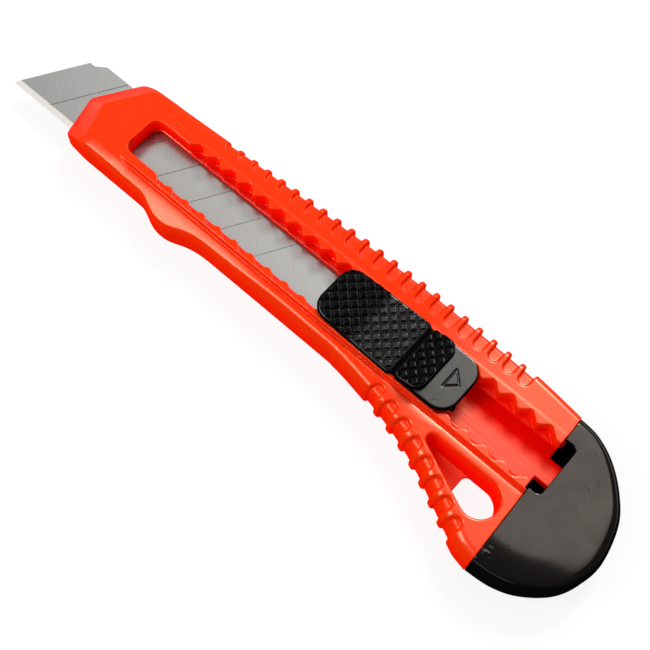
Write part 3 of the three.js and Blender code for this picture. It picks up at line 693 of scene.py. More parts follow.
def along(tree, output, axis, low, high):
    """0 below low and 1 above high, of a coordinate along one axis."""
    vector = add(tree, "ShaderNodeTexCoord").outputs[output]
    value = add(tree, "ShaderNodeSeparateXYZ", Vector=vector).outputs[axis]
    return add(tree, "ShaderNodeMapRange", {"From Min": low, "From Max": high}, Value=value)


def past(tree, axis, start, end):
    """0 before start and 1 past end, in the part's own millimetres along one axis."""
    shift = ORIGIN["XYZ".index(axis)]
    return along(tree, "Object", axis, (start + shift) / 1000, (end + shift) / 1000)


def hairlines(tree, turn):
    """Sparse fine scratches a few millimetres long: narrow contours of a drawn-out noise."""
    wave = grain(tree, 2.2, (0.12, 1, 1), 1.0, turn)
    centred = add(tree, "ShaderNodeMath", {"operation": "SUBTRACT", 1: 0.5}, _0=wave)
    off_line = add(tree, "ShaderNodeMath", {"operation": "ABSOLUTE"}, _0=centred)
    line = add(tree, "ShaderNodeMapRange", {"From Min": 0.007, "From Max": 0}, Value=off_line)
    cloud = grain(tree, 6, EVEN, 1.0, turn + 1)
    patches = add(tree, "ShaderNodeMapRange", {"From Min": 0.6, "From Max": 0.66}, Value=cloud)
    return add(tree, "ShaderNodeMath", MULTIPLY, _0=line, _1=patches)


def blend(first=WHITE, second=WHITE):
    """Settings of a Mix node between two colours. One that a source feeds is left out."""
    return {"data_type": "RGBA", 6: (*first, 1), 7: (*second, 1)}


def orange_masks(tree):
    """Where each finish of the handle and each painted shade and sheen on it lies, from 0 to 1."""
    at = SimpleNamespace()
    at.upwards = along(tree, "Normal", "Z", 0.82, 0.91)
    place = add(tree, "ShaderNodeTexCoord").outputs["Object"]
    y = add(tree, "ShaderNodeSeparateXYZ", Vector=place).outputs["Y"]
    across = add(tree, "ShaderNodeMath", {"operation": "SUBTRACT", 1: ORIGIN[1] / 1000}, _0=y)
    off_centre = add(tree, "ShaderNodeMath", {"operation": "ABSOLUTE"}, _0=across)
    track_edge = {"From Min": 7.8 / 1000, "From Max": 8.8 / 1000}
    at.outside = add(tree, "ShaderNodeMapRange", track_edge, Value=off_centre)
    inside = add(tree, "ShaderNodeMapRange", FLIPPED, Value=at.outside)
    in_slot = add(tree, "ShaderNodeMath", MULTIPLY, _0=inside, _1=past(tree, "Y", -3, -2))
    ahead = add(tree, "ShaderNodeMath", MULTIPLY, _0=past(tree, "X", 15.4, 16.4), _1=past(tree, "X", 90, 80))
    at.window = add(tree, "ShaderNodeMath", MULTIPLY, _0=ahead, _1=in_slot)
    at.floor = past(tree, "Z", 5, 4.4)
    at.above_floor = add(tree, "ShaderNodeMapRange", FLIPPED, Value=at.floor)
    # Where the rear flats' painted sheen comes in.
    at.rear = past(tree, "X", 97, 122)
    return at


def orange_skin(tree, at, colour):
    """Painted shade, redder the deeper it lies and reddest in the window's notches, and a pale painted sheen
    in the pocket.
    """
    tint = add(tree, "ShaderNodeMix", blend(colour, shade(colour, 0.9)), Factor=grain(tree, 11, EVEN))
    # Painted shade in the window's notches: bright red on their walls, darker on faces that look up.
    notches = add(tree, "ShaderNodeMix", blend(linear("#FF1602"), linear("#DA0602")), Factor=at.upwards)
    # Painted shade lower down: a redder orange on the low flanks and a darker red in the slot.
    painted_hollow_shade = add(tree, "ShaderNodeMix", blend(linear("#FA0801"), linear("#FF2304")), Factor=at.outside)
    painted_recess_shade = add(tree, "ShaderNodeMix", blend(), Factor=at.window, _6=painted_hollow_shade, _7=notches)
    in_window = add(tree, "ShaderNodeMath", MULTIPLY, _0=at.window, _1=past(tree, "Z", 9.7, 8.6))
    # How far the painted shade takes over: with depth below the flanks, and below the track in the window.
    depth = add(tree, "ShaderNodeMath", LARGER, _0=past(tree, "Z", 8.8, 5.8), _1=in_window)
    deep = add(tree, "ShaderNodeMix", blend(), Factor=depth, _6=tint, _7=painted_recess_shade)
    # Painted sheen: where the pocket's floor faces up, it is lifted to a pale pink as if lit.
    painted_pocket_sheen = add(tree, "ShaderNodeMath", MULTIPLY, _0=past(tree, "Z", 3, 1.8), _1=at.upwards)
    return add(tree, "ShaderNodeMix", blend(second=linear("#FF6E4A")), Factor=painted_pocket_sheen, _6=deep)


def orange_gloss_and_painted_sheen(tree, at, flow):
    """How much each part of the handle shines: a satin gloss, with painted sheen laid over it by place and
    face direction.
    """
    # Painted sheen on the rear flats, where they reflect the light.
    high = add(tree, "ShaderNodeMath", MULTIPLY, _0=at.rear, _1=past(tree, "Z", 8.4, 9))
    satin = add(tree, "ShaderNodeMath", {"operation": "MULTIPLY_ADD", 1: 0.88, 2: 0.05}, _0=high)
    flats = add(tree, "ShaderNodeMath", MULTIPLY, _0=satin, _1=at.above_floor)

    streaks = {"From Min": 0.3, "From Max": 0.7, "To Min": 0.8, "To Max": 1.15}
    patchy = add(tree, "ShaderNodeMapRange", streaks, Value=flow)
    # Painted highlights on leaning faces and rims: strongest on the grip side's flank, weaker at the rear,
    # more in the window.
    leaning = add(tree, "ShaderNodeMath", MULTIPLY, _0=along(tree, "Normal", "Z", 0.995, 0.96), _1=patchy)
    open_rim = add(tree, "ShaderNodeMath", LARGER, _0=at.outside, _1=past(tree, "Z", 7, 7.8))
    grip_side = along(tree, "Normal", "Y", 0.02, -0.06)
    painted_sheen_mask = add(tree, "ShaderNodeMath", MULTIPLY, _0=grip_side, _1=open_rim)
    painted_sheen_gloss = add(tree, "ShaderNodeMapRange", {"To Min": 0.08, "To Max": 0.68}, Value=painted_sheen_mask)
    duller = add(tree, "ShaderNodeMapRange", {"To Min": 1, "To Max": 0.28}, Value=at.rear)
    gloss = add(tree, "ShaderNodeMath", MULTIPLY, _0=painted_sheen_gloss, _1=duller)
    lit = add(tree, "ShaderNodeMath", {"operation": "MULTIPLY_ADD", 1: 0.3}, _0=at.window, _2=gloss)
    edges = add(tree, "ShaderNodeMath", MULTIPLY, _0=leaning, _1=lit)
    rims = add(tree, "ShaderNodeMath", SUM, _0=edges, _1=flats)

    # Painted sheen on the low ledges, more in the window.
    ledge = add(tree, "ShaderNodeMath", MULTIPLY, _0=past(tree, "Z", 7.2, 6.4), _1=at.above_floor)
    ledge_gloss = add(tree, "ShaderNodeMapRange", {"To Min": 0.22, "To Max": 0.4}, Value=at.window)
    glossy_ledge = add(tree, "ShaderNodeMath", MULTIPLY, _0=ledge, _1=ledge_gloss)
    shelf = add(tree, "ShaderNodeMath", SUM, _0=glossy_ledge, _1=rims)
    # Painted sheen on the grip side's half of the channel floor; the half in shade gets none.
    painted_floor_sheen = add(tree, "ShaderNodeMath", MULTIPLY, _0=at.floor, _1=past(tree, "Y", 2.5, -0.5))
    gloss_and_painted_sheen = add(tree, "ShaderNodeMath", {"operation": "MULTIPLY_ADD", 1: 0.85}, _0=painted_floor_sheen, _2=shelf)
    # Faces steeper than about 35 degrees get no reflection: painted shade by face direction.
    return add(tree, "ShaderNodeMath", MULTIPLY, _0=at.upwards, _1=gloss_and_painted_sheen)


def orange_abs(colour):
    """Injection-moulded orange ABS, satin on top, with painted shade that makes it redder in its recesses.

    A painted sheen lies on the rear flats, the leaning flank of the grip side and the grip side's half of
    the channel's floor. The channel's floor keeps the mould's lengthwise polishing lines. A painted red glow
    lies over all of it, strongest on the steep walls of the window's notches.
    """
    material, tree = new_material("moulded orange ABS")
    at = orange_masks(tree)
    flow = grain(tree, 0.6, (0.03, 1.6, 1))
    lines = add(tree, "ShaderNodeMath", MULTIPLY, _0=flow, _1=at.floor)
    bump = add(tree, "ShaderNodeBump", {"Strength": 1, "Distance": 0.00006}, Height=lines)
    roughness = add(tree, "ShaderNodeMapRange", {"To Min": 0.25, "To Max": 0.42}, Value=at.floor)
    # Painted glow: the whole handle gives off a faint red light, and the steep walls of the window's notches
    # more, though no lamp is there.
    walls, thin = along(tree, "Normal", "Z", 0.7, 0.4), past(tree, "Z", 6, 8.5)
    painted_glow_walls = add(tree, "ShaderNodeMath", MULTIPLY, _0=walls, _1=thin)
    painted_wall_glow = add(tree, "ShaderNodeMath", MULTIPLY, _0=at.window, _1=painted_glow_walls)
    shader = add(
        tree, "ShaderNodeBsdfPrincipled",
        {"IOR": ABS_IOR, "Specular Tint": (1, 0.95, 0.6, 1), "Emission Color": (1, 0.005, 0, 1),
         "Subsurface Weight": 0.1, "Subsurface Scale": 0.001, "Subsurface Radius": (1.2, 0.3, 0.1)},
        Base_Color=orange_skin(tree, at, colour), Roughness=roughness, Normal=bump,
        Specular_IOR_Level=orange_gloss_and_painted_sheen(tree, at, flow),
        Emission_Strength=add(tree, "ShaderNodeMapRange", {"To Min": 0.06, "To Max": 0.3}, Value=painted_wall_glow),
    )
    finish_material(tree, shader)
    return material


def scuffed(tree, colour, centre):
    """The colour with a small pale scuff round a point, where the skin is torn up."""
    place = add(tree, "ShaderNodeTexCoord").outputs["Object"]
    away = add(tree, "ShaderNodeVectorMath", {"operation": "DISTANCE", 1: centre}, _0=place)
    fading = {"From Min": 1.6 / 1000, "From Max": 0.5 / 1000, "To Max": 0.5}
    near = add(tree, "ShaderNodeMapRange", fading, Value=away)
    rags = grain(tree, 0.7, (0.6, 1, 1), 3.0, 0.1)
    torn = add(tree, "ShaderNodeMapRange", {"From Min": 0.5, "From Max": 0.6}, Value=rags)
    scuff = add(tree, "ShaderNodeMath", MULTIPLY, _0=near, _1=torn)
    return add(tree, "ShaderNodeMix", blend(colour, linear("#8A8684")), Factor=scuff)


def black_abs(colour, name, roughness, glossy_above, shine=0.86, cast=(1, 0.88, 0.77), scuff=None):
    """Injection-moulded ABS in black: glossy, smudged and scratched on top, and kept dull on its sides as
    painted shade.
    """
    material, tree = new_material(name)
    handled = {"From Min": 0.3, "From Max": 0.7, "To Min": 0.85, "To Max": 1.1}
    smudges = add(tree, "ShaderNodeMapRange", handled, Value=grain(tree, 7, EVEN, 3.0))
    scratches = add(tree, "ShaderNodeMath", LARGER, _0=hairlines(tree, 0.9), _1=hairlines(tree, -0.5))
    unscratched = add(tree, "ShaderNodeMapRange", {"To Min": shine, "To Max": shine * 0.3}, Value=scratches)
    kept = add(tree, "ShaderNodeMath", MULTIPLY, _0=unscratched, _1=smudges)
    # Painted shade: faces that lean, or lie below glossy_above, get no reflection.
    above = past(tree, "Z", glossy_above, glossy_above + 0.4)
    top = add(tree, "ShaderNodeMath", MULTIPLY, _0=along(tree, "Normal", "Z", 0.75, 0.93), _1=above)
    wiped = {"From Min": 0.85, "From Max": 1.1, "To Min": roughness + 0.04, "To Max": roughness}
    shader = add(
        tree, "ShaderNodeBsdfPrincipled",
        {"Base Color": (*colour, 1), "IOR": ABS_IOR, "Specular Tint": (*cast, 1)},
        Roughness=add(tree, "ShaderNodeMapRange", wiped, Value=smudges),
        Specular_IOR_Level=add(tree, "ShaderNodeMath", MULTIPLY, _0=top, _1=kept),
    )
    if scuff is not None:
        tree.links.new(output_of(scuffed(tree, colour, scuff)), shader.inputs["Base Color"])
    finish_material(tree, shader)
    return material


def stud_abs(colour, name, painted_sheen_from=None):
    """Spark-eroded black ABS: lumpy and dark, with painted highlights on its edges and a painted sheen from a
    station rearwards.
    """
    material, tree = new_material(name)
    skin = add(tree, "ShaderNodeBump", {"Strength": 0.4, "Distance": 0.0001}, Height=grain(tree, 0.38, EVEN))
    patchy = {"From Min": 0.35, "From Max": 0.65, "To Min": 0.6, "To Max": 1.3}
    blotch = add(tree, "ShaderNodeMapRange", patchy, Value=grain(tree, 1.6, EVEN, 1.0))
    # Painted highlight: the studs' leaning edges shine more than their tops.
    leaning = along(tree, "Normal", "Z", 0.985, 0.95)
    edges = add(tree, "ShaderNodeMapRange", {"To Min": 0.03, "To Max": 0.12}, Value=leaning)
    level = add(tree, "ShaderNodeMath", MULTIPLY, _0=edges, _1=blotch)
    # Painted sheen from a station rearwards, where the studs reflect the light.
    if painted_sheen_from is not None:
        painted_sheen_mask = past(tree, "X", painted_sheen_from, painted_sheen_from + 2)
        painted_sheen = add(tree, "ShaderNodeMapRange", {"To Max": 0.36}, Value=painted_sheen_mask)
        painted_sheen_blotch = add(tree, "ShaderNodeMath", MULTIPLY, _0=painted_sheen, _1=blotch)
        level = add(tree, "ShaderNodeMath", LARGER, _0=painted_sheen_blotch, _1=level)
    dark = {"Base Color": (*shade(colour, 0.5), 1), "IOR": ABS_IOR, "Roughness": 0.28}
    shader = add(tree, "ShaderNodeBsdfPrincipled", dark, Normal=skin, Specular_IOR_Level=level)
    finish_material(tree, shader)
    return material


def blade_steel(colour):
    """Hardened carbon strip: a fine satin grain slanting across it, and an edge ground pale and diffuse."""
    material, tree = new_material("ground carbon steel")
    lines = grain(tree, 0.38, (0.025, 1.8, 1), 1.0, math.radians(-55))
    mottle = {"operation": "MULTIPLY_ADD", 1: 0.4}
    mottled = add(tree, "ShaderNodeMath", mottle, _0=grain(tree, 11, EVEN), _2=lines)
    dimmed = add(tree, "ShaderNodeMapRange", {"From Min": 0.45, "From Max": 0.95}, Value=mottled)
    tone = add(tree, "ShaderNodeMix", blend(colour, shade(colour, 0.94)), Factor=dimmed)
    bevel_top = blade_low.y * 1000 - ORIGIN[1] + BLADE_BEVEL
    edge = past(tree, "Y", bevel_top, bevel_top - 0.1)
    satin = {"From Min": 0.3, "From Max": 0.7, "To Min": 0.265, "To Max": 0.285}
    shader = add(
        tree, "ShaderNodeBsdfPrincipled",
        Base_Color=add(tree, "ShaderNodeMix", blend(second=linear("#E3E0D8")), Factor=edge, _6=tone),
        Metallic=add(tree, "ShaderNodeMapRange", {"To Min": 0.8, "To Max": 0.1}, Value=edge),
        Roughness=add(tree, "ShaderNodeMapRange", satin, Value=lines),
    )
    finish_material(tree, shader)
    return material


def spring_strip(colour):
    """Rolled and hardened spring strip: bright, with rolling lines along it."""
    material, tree = new_material("rolled spring steel")
    rolled = {"From Min": 0.3, "From Max": 0.7, "To Min": 0.22, "To Max": 0.36}
    roughness = add(tree, "ShaderNodeMapRange", rolled, Value=grain(tree, 1.1, (0.3, 1, 6)))
    bright = {"Metallic": 1, "Base Color": (*colour, 1)}
    finish_material(tree, add(tree, "ShaderNodeBsdfPrincipled", bright, Roughness=roughness))
    return material


def seen_directly(tree):
    """1 for what the camera, a gloss or a clear surface looks at, and 0 for the light on the knife."""
    ray = add(tree, "ShaderNodeLightPath").outputs
    direct = add(tree, "ShaderNodeMath", LARGER, _0=ray["Is Camera Ray"], _1=ray["Is Glossy Ray"])
    return add(tree, "ShaderNodeMath", LARGER, _0=direct, _1=ray["Is Transmission Ray"])


def backdrop_paper(colour, glow):
    """Matt white sheet: lit like paper, and lifted to white where the camera or a reflection sees it."""
    material, tree = new_material("matt backdrop paper")
    fibre = grain(tree, 1.1, EVEN, 3.0)
    seen = seen_directly(tree)
    shader = add(
        tree, "ShaderNodeBsdfPrincipled", {"Roughness": 0.9, "Emission Color": (1, 1, 1, 1)},
        Base_Color=add(tree, "ShaderNodeMix", blend(colour, shade(colour, 1 - glow)), Factor=seen),
        Emission_Strength=add(tree, "ShaderNodeMapRange", {"To Max": glow}, Value=seen),
        Normal=add(tree, "ShaderNodeBump", {"Strength": 0.05, "Distance": 0.0001}, Height=fibre),
    )
    finish_material(tree, shader)
    return material


# ---------- Settings ----------


def length(name, size, text):
    kind = {"unit": "LENGTH", "min": 0, "precision": 5}
    return bpy.props.FloatProperty(name=name, description=text, default=size / 1000, **kind)


def colour(name, value, text):
    kind = {"subtype": "COLOR", "min": 0, "max": 1}
    return bpy.props.FloatVectorProperty(name=name, description=text, default=linear(value), **kind)


def angle(name, degrees, text):
    turn = math.radians(degrees)
    return bpy.props.FloatProperty(name=name, description=text, default=turn, subtype="ANGLE")


def power(name, watts, text):
    return bpy.props.FloatProperty(name=name, description=text, default=watts, unit="POWER", min=0)


def number(name, value, low, high, text):
    return bpy.props.FloatProperty(name=name, description=text, default=value, min=low, max=high)


def millimetres(settings):
    """A settings group's lengths in millimetres."""
    names = settings.__annotations__
    return SimpleNamespace(**{name: getattr(settings, name) * 1000 for name in names})


class HandleSettings(bpy.types.PropertyGroup):
    thickness: length("Body thickness", 9.2, "Height of the flanks above the underside")
    track_rise: length("Track rise", 0.6, "How far the track round the slot stands above the flanks")
    track_half_width: length("Track half width", 7.7, "From the slot's centre line to the track's edge")
    edge_round: length("Edge rounding", 2, "Radius along the blade's spine side")
    rim_round: length("Slot rim", 0.22, "Radius of the slot's and the racks' rims")
    pocket_round: length("Pocket rim", 0.6, "Radius of the teardrop pocket's rim")
    rib_width: length("Flute width", 2.7, "Width of the flutes between the grip ribs")
    rib_depth: length("Flute depth", 0.95, "How deep the flutes are cut between the grip ribs")
    spine_rib_pitch: length("Spine side rib pitch", 4.06, "Distance between ribs on the blade's spine side")
    grip_rib_pitch: length("Grip side rib pitch", 4.54, "Distance between ribs on the finger side")
    tooth_pitch: length("Rack pitch", 5.07, "Distance between the slot's notches")


class CapSettings(bpy.types.PropertyGroup):
    thickness: length("Cap thickness", 9.6, "Height of the end cap")
    wall: length("Cap wall", 1.6, "Thickness of the end cap's shell")
    edge_round: length("Edge rounding", 2.2, "Radius round the end cap's edges")


class SlideSettings(bpy.types.PropertyGroup):
    plate: length("Plate", 1.3, "Thickness of both slides where they are flat, studs included")
    front_rise: length("Front rise", 0.5, "How far the front pad climbs towards its front edge")
    lock_low: length("Lock pad front", 0.4, "Lock pad above the plate at its front")
    lock_high: length("Lock pad rear", 2.2, "Lock pad above the plate at its rear")
    stud_pitch: length("Stud pitch", 2.03, "Distance between neighbouring studs, across the diagonal rows")
    stud_size: length("Stud size", 1.56, "Side of each square stud at its foot")
    stud_height: length("Stud height", 0.42, "Height of the studs above their grooves")
    arrow_line: length("Arrow line", 0.42, "Width of the engraved arrow's line")


class FinishSettings(bpy.types.PropertyGroup):
    orange: colour("Orange ABS", "#FF370A", "Colour of the moulded handle")
    black: colour("Black ABS", "#0C0C0D", "Colour of the cap, slides and carrier")
    steel: colour("Blade steel", "#A4A5A2", "Colour of the ground blade")
    spring: colour("Spring steel", "#A09E98", "Colour of the detent spring")


class StageSettings(bpy.types.PropertyGroup):
    azimuth: angle("Camera azimuth", 37.78, "Angle round the knife from its grip side")
    elevation: angle("Camera elevation", 66.93, "Angle above the floor")
    roll: angle("Camera roll", 4.05, "Turn about the line of sight")
    distance: length("Camera distance", 238.45, "From the lens to the point aimed at")
    lens: number("Lens", 59.88, 1, 500, "Focal length in millimetres")
    overhead: power("Overhead softbox", 4.6, "Power of the big softbox overhead")
    key: power("Key light", 4.8, "Power of the small key light on the spine side")
    side: power("Side softbox", 2.3, "Power of the small softbox on the grip side")
    wash: power("Side wash", 2.6, "Power of the low wash on the grip side")
    fill: number("Room light", 0.06, 0, 1, "Strength of the room's even light")
    floor: colour("Backdrop", "#F0F0EE", "Colour of the sheet under the knife")
    floor_glow: number("Backdrop lift", 0.88, 0, 1, "Share of the sheet's white that is its own light")


# ---------- Operators ----------


class KNIFE_OT_handle(bpy.types.Operator):
    """Mould the handle with its nose, racks, ribs, pocket and hanging hole"""

    bl_idname = "knife.handle"
    bl_label = "Handle"

    def execute(self, context):
        s, cap = millimetres(context.scene.knife_handle), millimetres(context.scene.knife_cap)
        mesh = moulded_mesh("handle_body", partial(handle_distance, s=s, cap=cap))
        handle = piece("handle_body", mesh, "handle", "orange_abs", "handle")
        dress(handle, orange_abs(context.scene.knife_finish.orange))
        return {"FINISHED"}


class KNIFE_OT_end_cap(bpy.types.Operator):
    """Mould the D-shaped end cap with its notch"""

    bl_idname = "knife.end_cap"
    bl_label = "End cap"

    def execute(self, context):
        s = millimetres(context.scene.knife_cap)
        mesh = moulded_mesh("end_cap_shell", partial(cap_distance, s=s))
        cap = piece("end_cap_shell", mesh, "cap", "black_abs", "end_cap")
        black = context.scene.knife_finish.black
        dress(cap, black_abs(black, "moulded black ABS", 0.1, 8, scuff=to_scene(CAP_SCUFF)))
        return {"FINISHED"}


class KNIFE_OT_slides(bpy.types.Operator):
    """Mould the thumb slide and the lock slide, without their studs"""

    bl_idname = "knife.slides"
    bl_label = "Slides"

    def execute(self, context):
        s = millimetres(context.scene.knife_slides)
        black = context.scene.knife_finish.black
        gloss = black_abs(black, "moulded black ABS slide", 0.22, 10.6, shine=1, cast=(1, 0.98, 0.9))
        mesh = moulded_mesh("thumb_pad", partial(thumb_slide_distance, s=s))
        dress(piece("thumb_pad", mesh, "slider", "black_abs", "thumb_slide"), gloss)
        mesh = moulded_mesh("lock_pad", partial(lock_slide_distance, s=s))
        dress(piece("lock_pad", mesh, "lock", "black_abs", "lock_slide"), gloss)
        return {"FINISHED"}


def stud_mesh(pitch, size, height):
    """One stud on its tile: a square stud in a trench, with half of the thin ridge that frames it."""
    cell, foot, ridge = pitch / 2 - 0.01, size / 2, 0.24
    rings = []
    for half, corner, z in (
        (cell, 0.02, -0.3), (cell, 0.02, ridge), (cell - 0.05, 0.04, ridge), (foot + 0.04, 0.2, 0),
        (foot, 0.22, 0), (foot - 0.06, 0.2, height - 0.1), (foot - 0.34, 0.12, height),
    ):
        square = [(1, 1), (-1, 1), (-1, -1), (1, -1)]
        outline = rounded_outline([(x * half, y * half, corner) for x, y in square], 2)
        rings.append([(x / 1000, y / 1000, z / 1000) for x, y in outline])
    count = len(rings[0])
    points = [point for ring in rings for point in ring]
    faces = [tuple(reversed(range(count))), tuple(range(len(points) - count, len(points)))]
    for ring in range(len(rings) - 1):
        for side in range(count):
            a, b = ring * count + side, ring * count + (side + 1) % count
            faces.append((a, b, b + count, a + count))
    mesh = bpy.data.meshes.new("stud")
    mesh.from_pydata(points, [], faces)
    return mesh


def stud_tree():
    """Geometry Nodes: a diagonal field of studs, trimmed to the pad that carries them."""
    tree = bpy.data.node_groups.new("stud field", "GeometryNodeTree")
    inputs = {
        "Pad": "Geometry", "Stud": "Object", "Pitch": "Float", "Rows": "Int",
        "Turn": "Float", "Tilt": "Float", "Centre": "Vector", "Material": "Material",
    }
    for name, kind in inputs.items():
        tree.interface.new_socket(name, in_out="INPUT", socket_type="NodeSocket" + kind)
    tree.interface.new_socket("Studs", in_out="OUTPUT", socket_type="NodeSocketGeometry")
    given = add(tree, "NodeGroupInput").outputs
    less = add(tree, "ShaderNodeMath", {"operation": "SUBTRACT", 1: 1}, _0=given["Rows"])
    side = add(tree, "ShaderNodeMath", MULTIPLY, _0=less, _1=given["Pitch"])
    rows = {"Vertices_X": given["Rows"], "Vertices_Y": given["Rows"]}
    lattice = add(tree, "GeometryNodeMeshGrid", Size_X=side, Size_Y=side, **rows)
    stud = add(tree, "GeometryNodeObjectInfo", Object=given["Stud"]).outputs["Geometry"]
    field = add(tree, "GeometryNodeInstanceOnPoints", Points=lattice, Instance=stud)
    turn = add(tree, "ShaderNodeCombineXYZ", Z=given["Turn"])
    turned = add(tree, "GeometryNodeTransform", Geometry=field, Rotation=turn)
    tilt = add(tree, "ShaderNodeCombineXYZ", Y=given["Tilt"])
    laid = add(tree, "GeometryNodeTransform", Geometry=turned, Rotation=tilt, Translation=given["Centre"])
    single = add(tree, "GeometryNodeRealizeInstances", Geometry=laid)
    trimmed = add(tree, "GeometryNodeMeshBoolean", {"operation": "INTERSECT", "solver": "MANIFOLD"})
    for solid in (given["Pad"], single.outputs[0]):
        tree.links.new(solid, trimmed.inputs["Mesh 2"])
    whole = add(tree, "GeometryNodeRealizeInstances", Geometry=trimmed)
    painted = add(tree, "GeometryNodeSetMaterial", Geometry=whole, Material=given["Material"])
    add(tree, "NodeGroupOutput", Studs=painted)
    return tree


def prism_mesh(name, outline, low, high):
    count = len(outline)
    points = np.vstack([np.column_stack([outline, np.full(count, z)]) for z in (low, high)])
    faces = [tuple(reversed(range(count))), tuple(range(count, 2 * count))]
    faces += [(i, (i + 1) % count, (i + 1) % count + count, i + count) for i in range(count)]
    mesh = bpy.data.meshes.new(name)
    mesh.from_pydata(to_scene(points), [], faces)
    if np.cross(outline[1] - outline[0], outline[2] - outline[1]) < 0:
        mesh.flip_normals()
    return mesh


def inner_outline(outline, inset):
    """The outline drawn in by inset, along its corners' bisectors."""
    before, after = np.roll(outline, 1, axis=0), np.roll(outline, -1, axis=0)
    tangent = after - before
    tangent /= np.linalg.norm(tangent, axis=1, keepdims=True)
    area = np.sum(outline[:, 0] * after[:, 1] - outline[:, 1] * after[:, 0])
    return outline + np.sign(area) * inset * np.column_stack([-tangent[:, 1], tangent[:, 0]])


def stud_field_mesh(name, tree, outline, values):
    """The studs that stand within an outline, as one plain mesh."""
    outline = outline[np.linalg.norm(outline - np.roll(outline, 1, axis=0), axis=1) > SAME_POINT]
    pad = bpy.data.objects.new(name + "_field", prism_mesh(name, outline, *STUD_TRIM))
    bpy.context.scene.collection.objects.link(pad)
    nodes = pad.modifiers.new("studs", "NODES")
    nodes.node_group = tree
    for item in tree.interface.items_tree:
        if item.in_out == "INPUT" and item.name in values:
            nodes[item.identifier] = values[item.name]
    evaluated = pad.evaluated_get(bpy.context.evaluated_depsgraph_get())
    mesh = bpy.data.meshes.new_from_object(evaluated)
    bpy.data.objects.remove(pad)
    if not mesh.polygons:
        raise RuntimeError(f"{name} came out empty")
    return mesh


class KNIFE_OT_studs(bpy.types.Operator):
    """Set the studs on both pads with Geometry Nodes"""

    bl_idname = "knife.studs"
    bl_label = "Studs"

    def execute(self, context):
        s = millimetres(context.scene.knife_slides)
        black = context.scene.knife_finish.black
        matt = stud_abs(black, "spark-eroded black ABS")
        stud = bpy.data.objects.new("stud", stud_mesh(s.stud_pitch, s.stud_size, s.stud_height))
        tree = stud_tree()
        crease = PAD_FRONT + PAD_RAMP_LENGTH
        # The front pad's studs carry the painted sheen from just before the crease rearwards.
        painted_sheen = stud_abs(black, "spark-eroded black ABS, painted sheen", crease + PAINTED_SHEEN_START)
        ramp_tilt = math.atan(s.front_rise / PAD_RAMP_LENGTH)
        lock_tilt = -math.atan((s.lock_high - s.lock_low) / LOCK_PAD[0])
        flat_top = float(pad_top(np.array(crease), s))
        lock_middle = LOCK_FRONT + LOCK_PAD[0] / 2
        lock_height = float(lock_pad_top(np.array(lock_middle), s))
        whole = inner_outline(pad_plan(), PAD_STUD_INSET)
        lock = inner_outline(lock_plan(*LOCK_PAD), LOCK_STUD_INSET)
        front, rear = whole.copy(), whole.copy()
        front[:, 0] = np.minimum(front[:, 0], crease)
        rear[:, 0] = np.maximum(rear[:, 0], crease)
        fields = (
            ("thumb_studs_front", "slider", painted_sheen, front, ramp_tilt, (crease, 0, flat_top), PAD_STUD_ROWS),
            ("thumb_studs_rear", "slider", painted_sheen, rear, 0, (crease, 0, flat_top), PAD_STUD_ROWS),
            ("lock_studs", "lock", matt, lock, lock_tilt, (lock_middle, 0, lock_height), LOCK_STUD_ROWS),
        )
        for name, body, material, outline, tilt, centre, rows in fields:
            mesh = stud_field_mesh(name, tree, outline, {
                "Stud": stud, "Pitch": s.stud_pitch / 1000, "Rows": rows, "Material": material,
                "Turn": math.radians(45), "Tilt": tilt, "Centre": to_scene(centre),
            })
            dress(piece(name, mesh, body, "black_abs"), material)
        bpy.data.objects.remove(stud)
        return {"FINISHED"}


class KNIFE_OT_steel(bpy.types.Operator):
    """Grind the blade and finish the hidden carrier and detent spring"""

    bl_idname = "knife.steel"
    bl_label = "Blade, carrier and spring"

    def execute(self, context):
        finish = context.scene.knife_finish
        nodes = frame["nodes"]
        dress(nodes["blade"], blade_steel(finish.steel))
        dress(nodes["blade_carrier"], black_abs(finish.black, "moulded black ABS carrier", 0.35, 0))
        dress(nodes["detent_spring"], spring_strip(finish.spring))
        return {"FINISHED"}


SHEET_REACH = 3  # metres from the middle
CAMERA_AIM = (80.1, -6.11, 5)  # in the part's own millimetres


def softbox(name, watts, size, place, target):
    """A white rectangular lamp, by its size, its place and the point it faces, in metres."""
    data = bpy.data.lights.new(name, "AREA")
    data.energy = watts
    data.shape = "RECTANGLE"
    data.size, data.size_y = size
    lamp = bpy.data.objects.new(name, data)
    bpy.context.scene.collection.objects.link(lamp)
    lamp.location = place
    lamp.rotation_mode = "QUATERNION"
    lamp.rotation_quaternion = (Vector(target) - Vector(place)).to_track_quat("-Z", "Y")


def room(fill):
    """Even light from all round, and white at the horizon where something sees past the sheet."""
    world = bpy.data.worlds.new("room")
    world.use_nodes = True
    tree = world.node_tree
    background = tree.nodes["Background"]
    background.inputs["Color"].default_value = (1, 1, 1, 1)
    horizon = along(tree, "Generated", "Z", 0.2, 0.1)
    white = add(tree, "ShaderNodeMath", MULTIPLY, _0=horizon, _1=seen_directly(tree))
    strength = add(tree, "ShaderNodeMapRange", {"To Min": fill}, Value=white)
    tree.links.new(output_of(strength), background.inputs["Strength"])
    return world


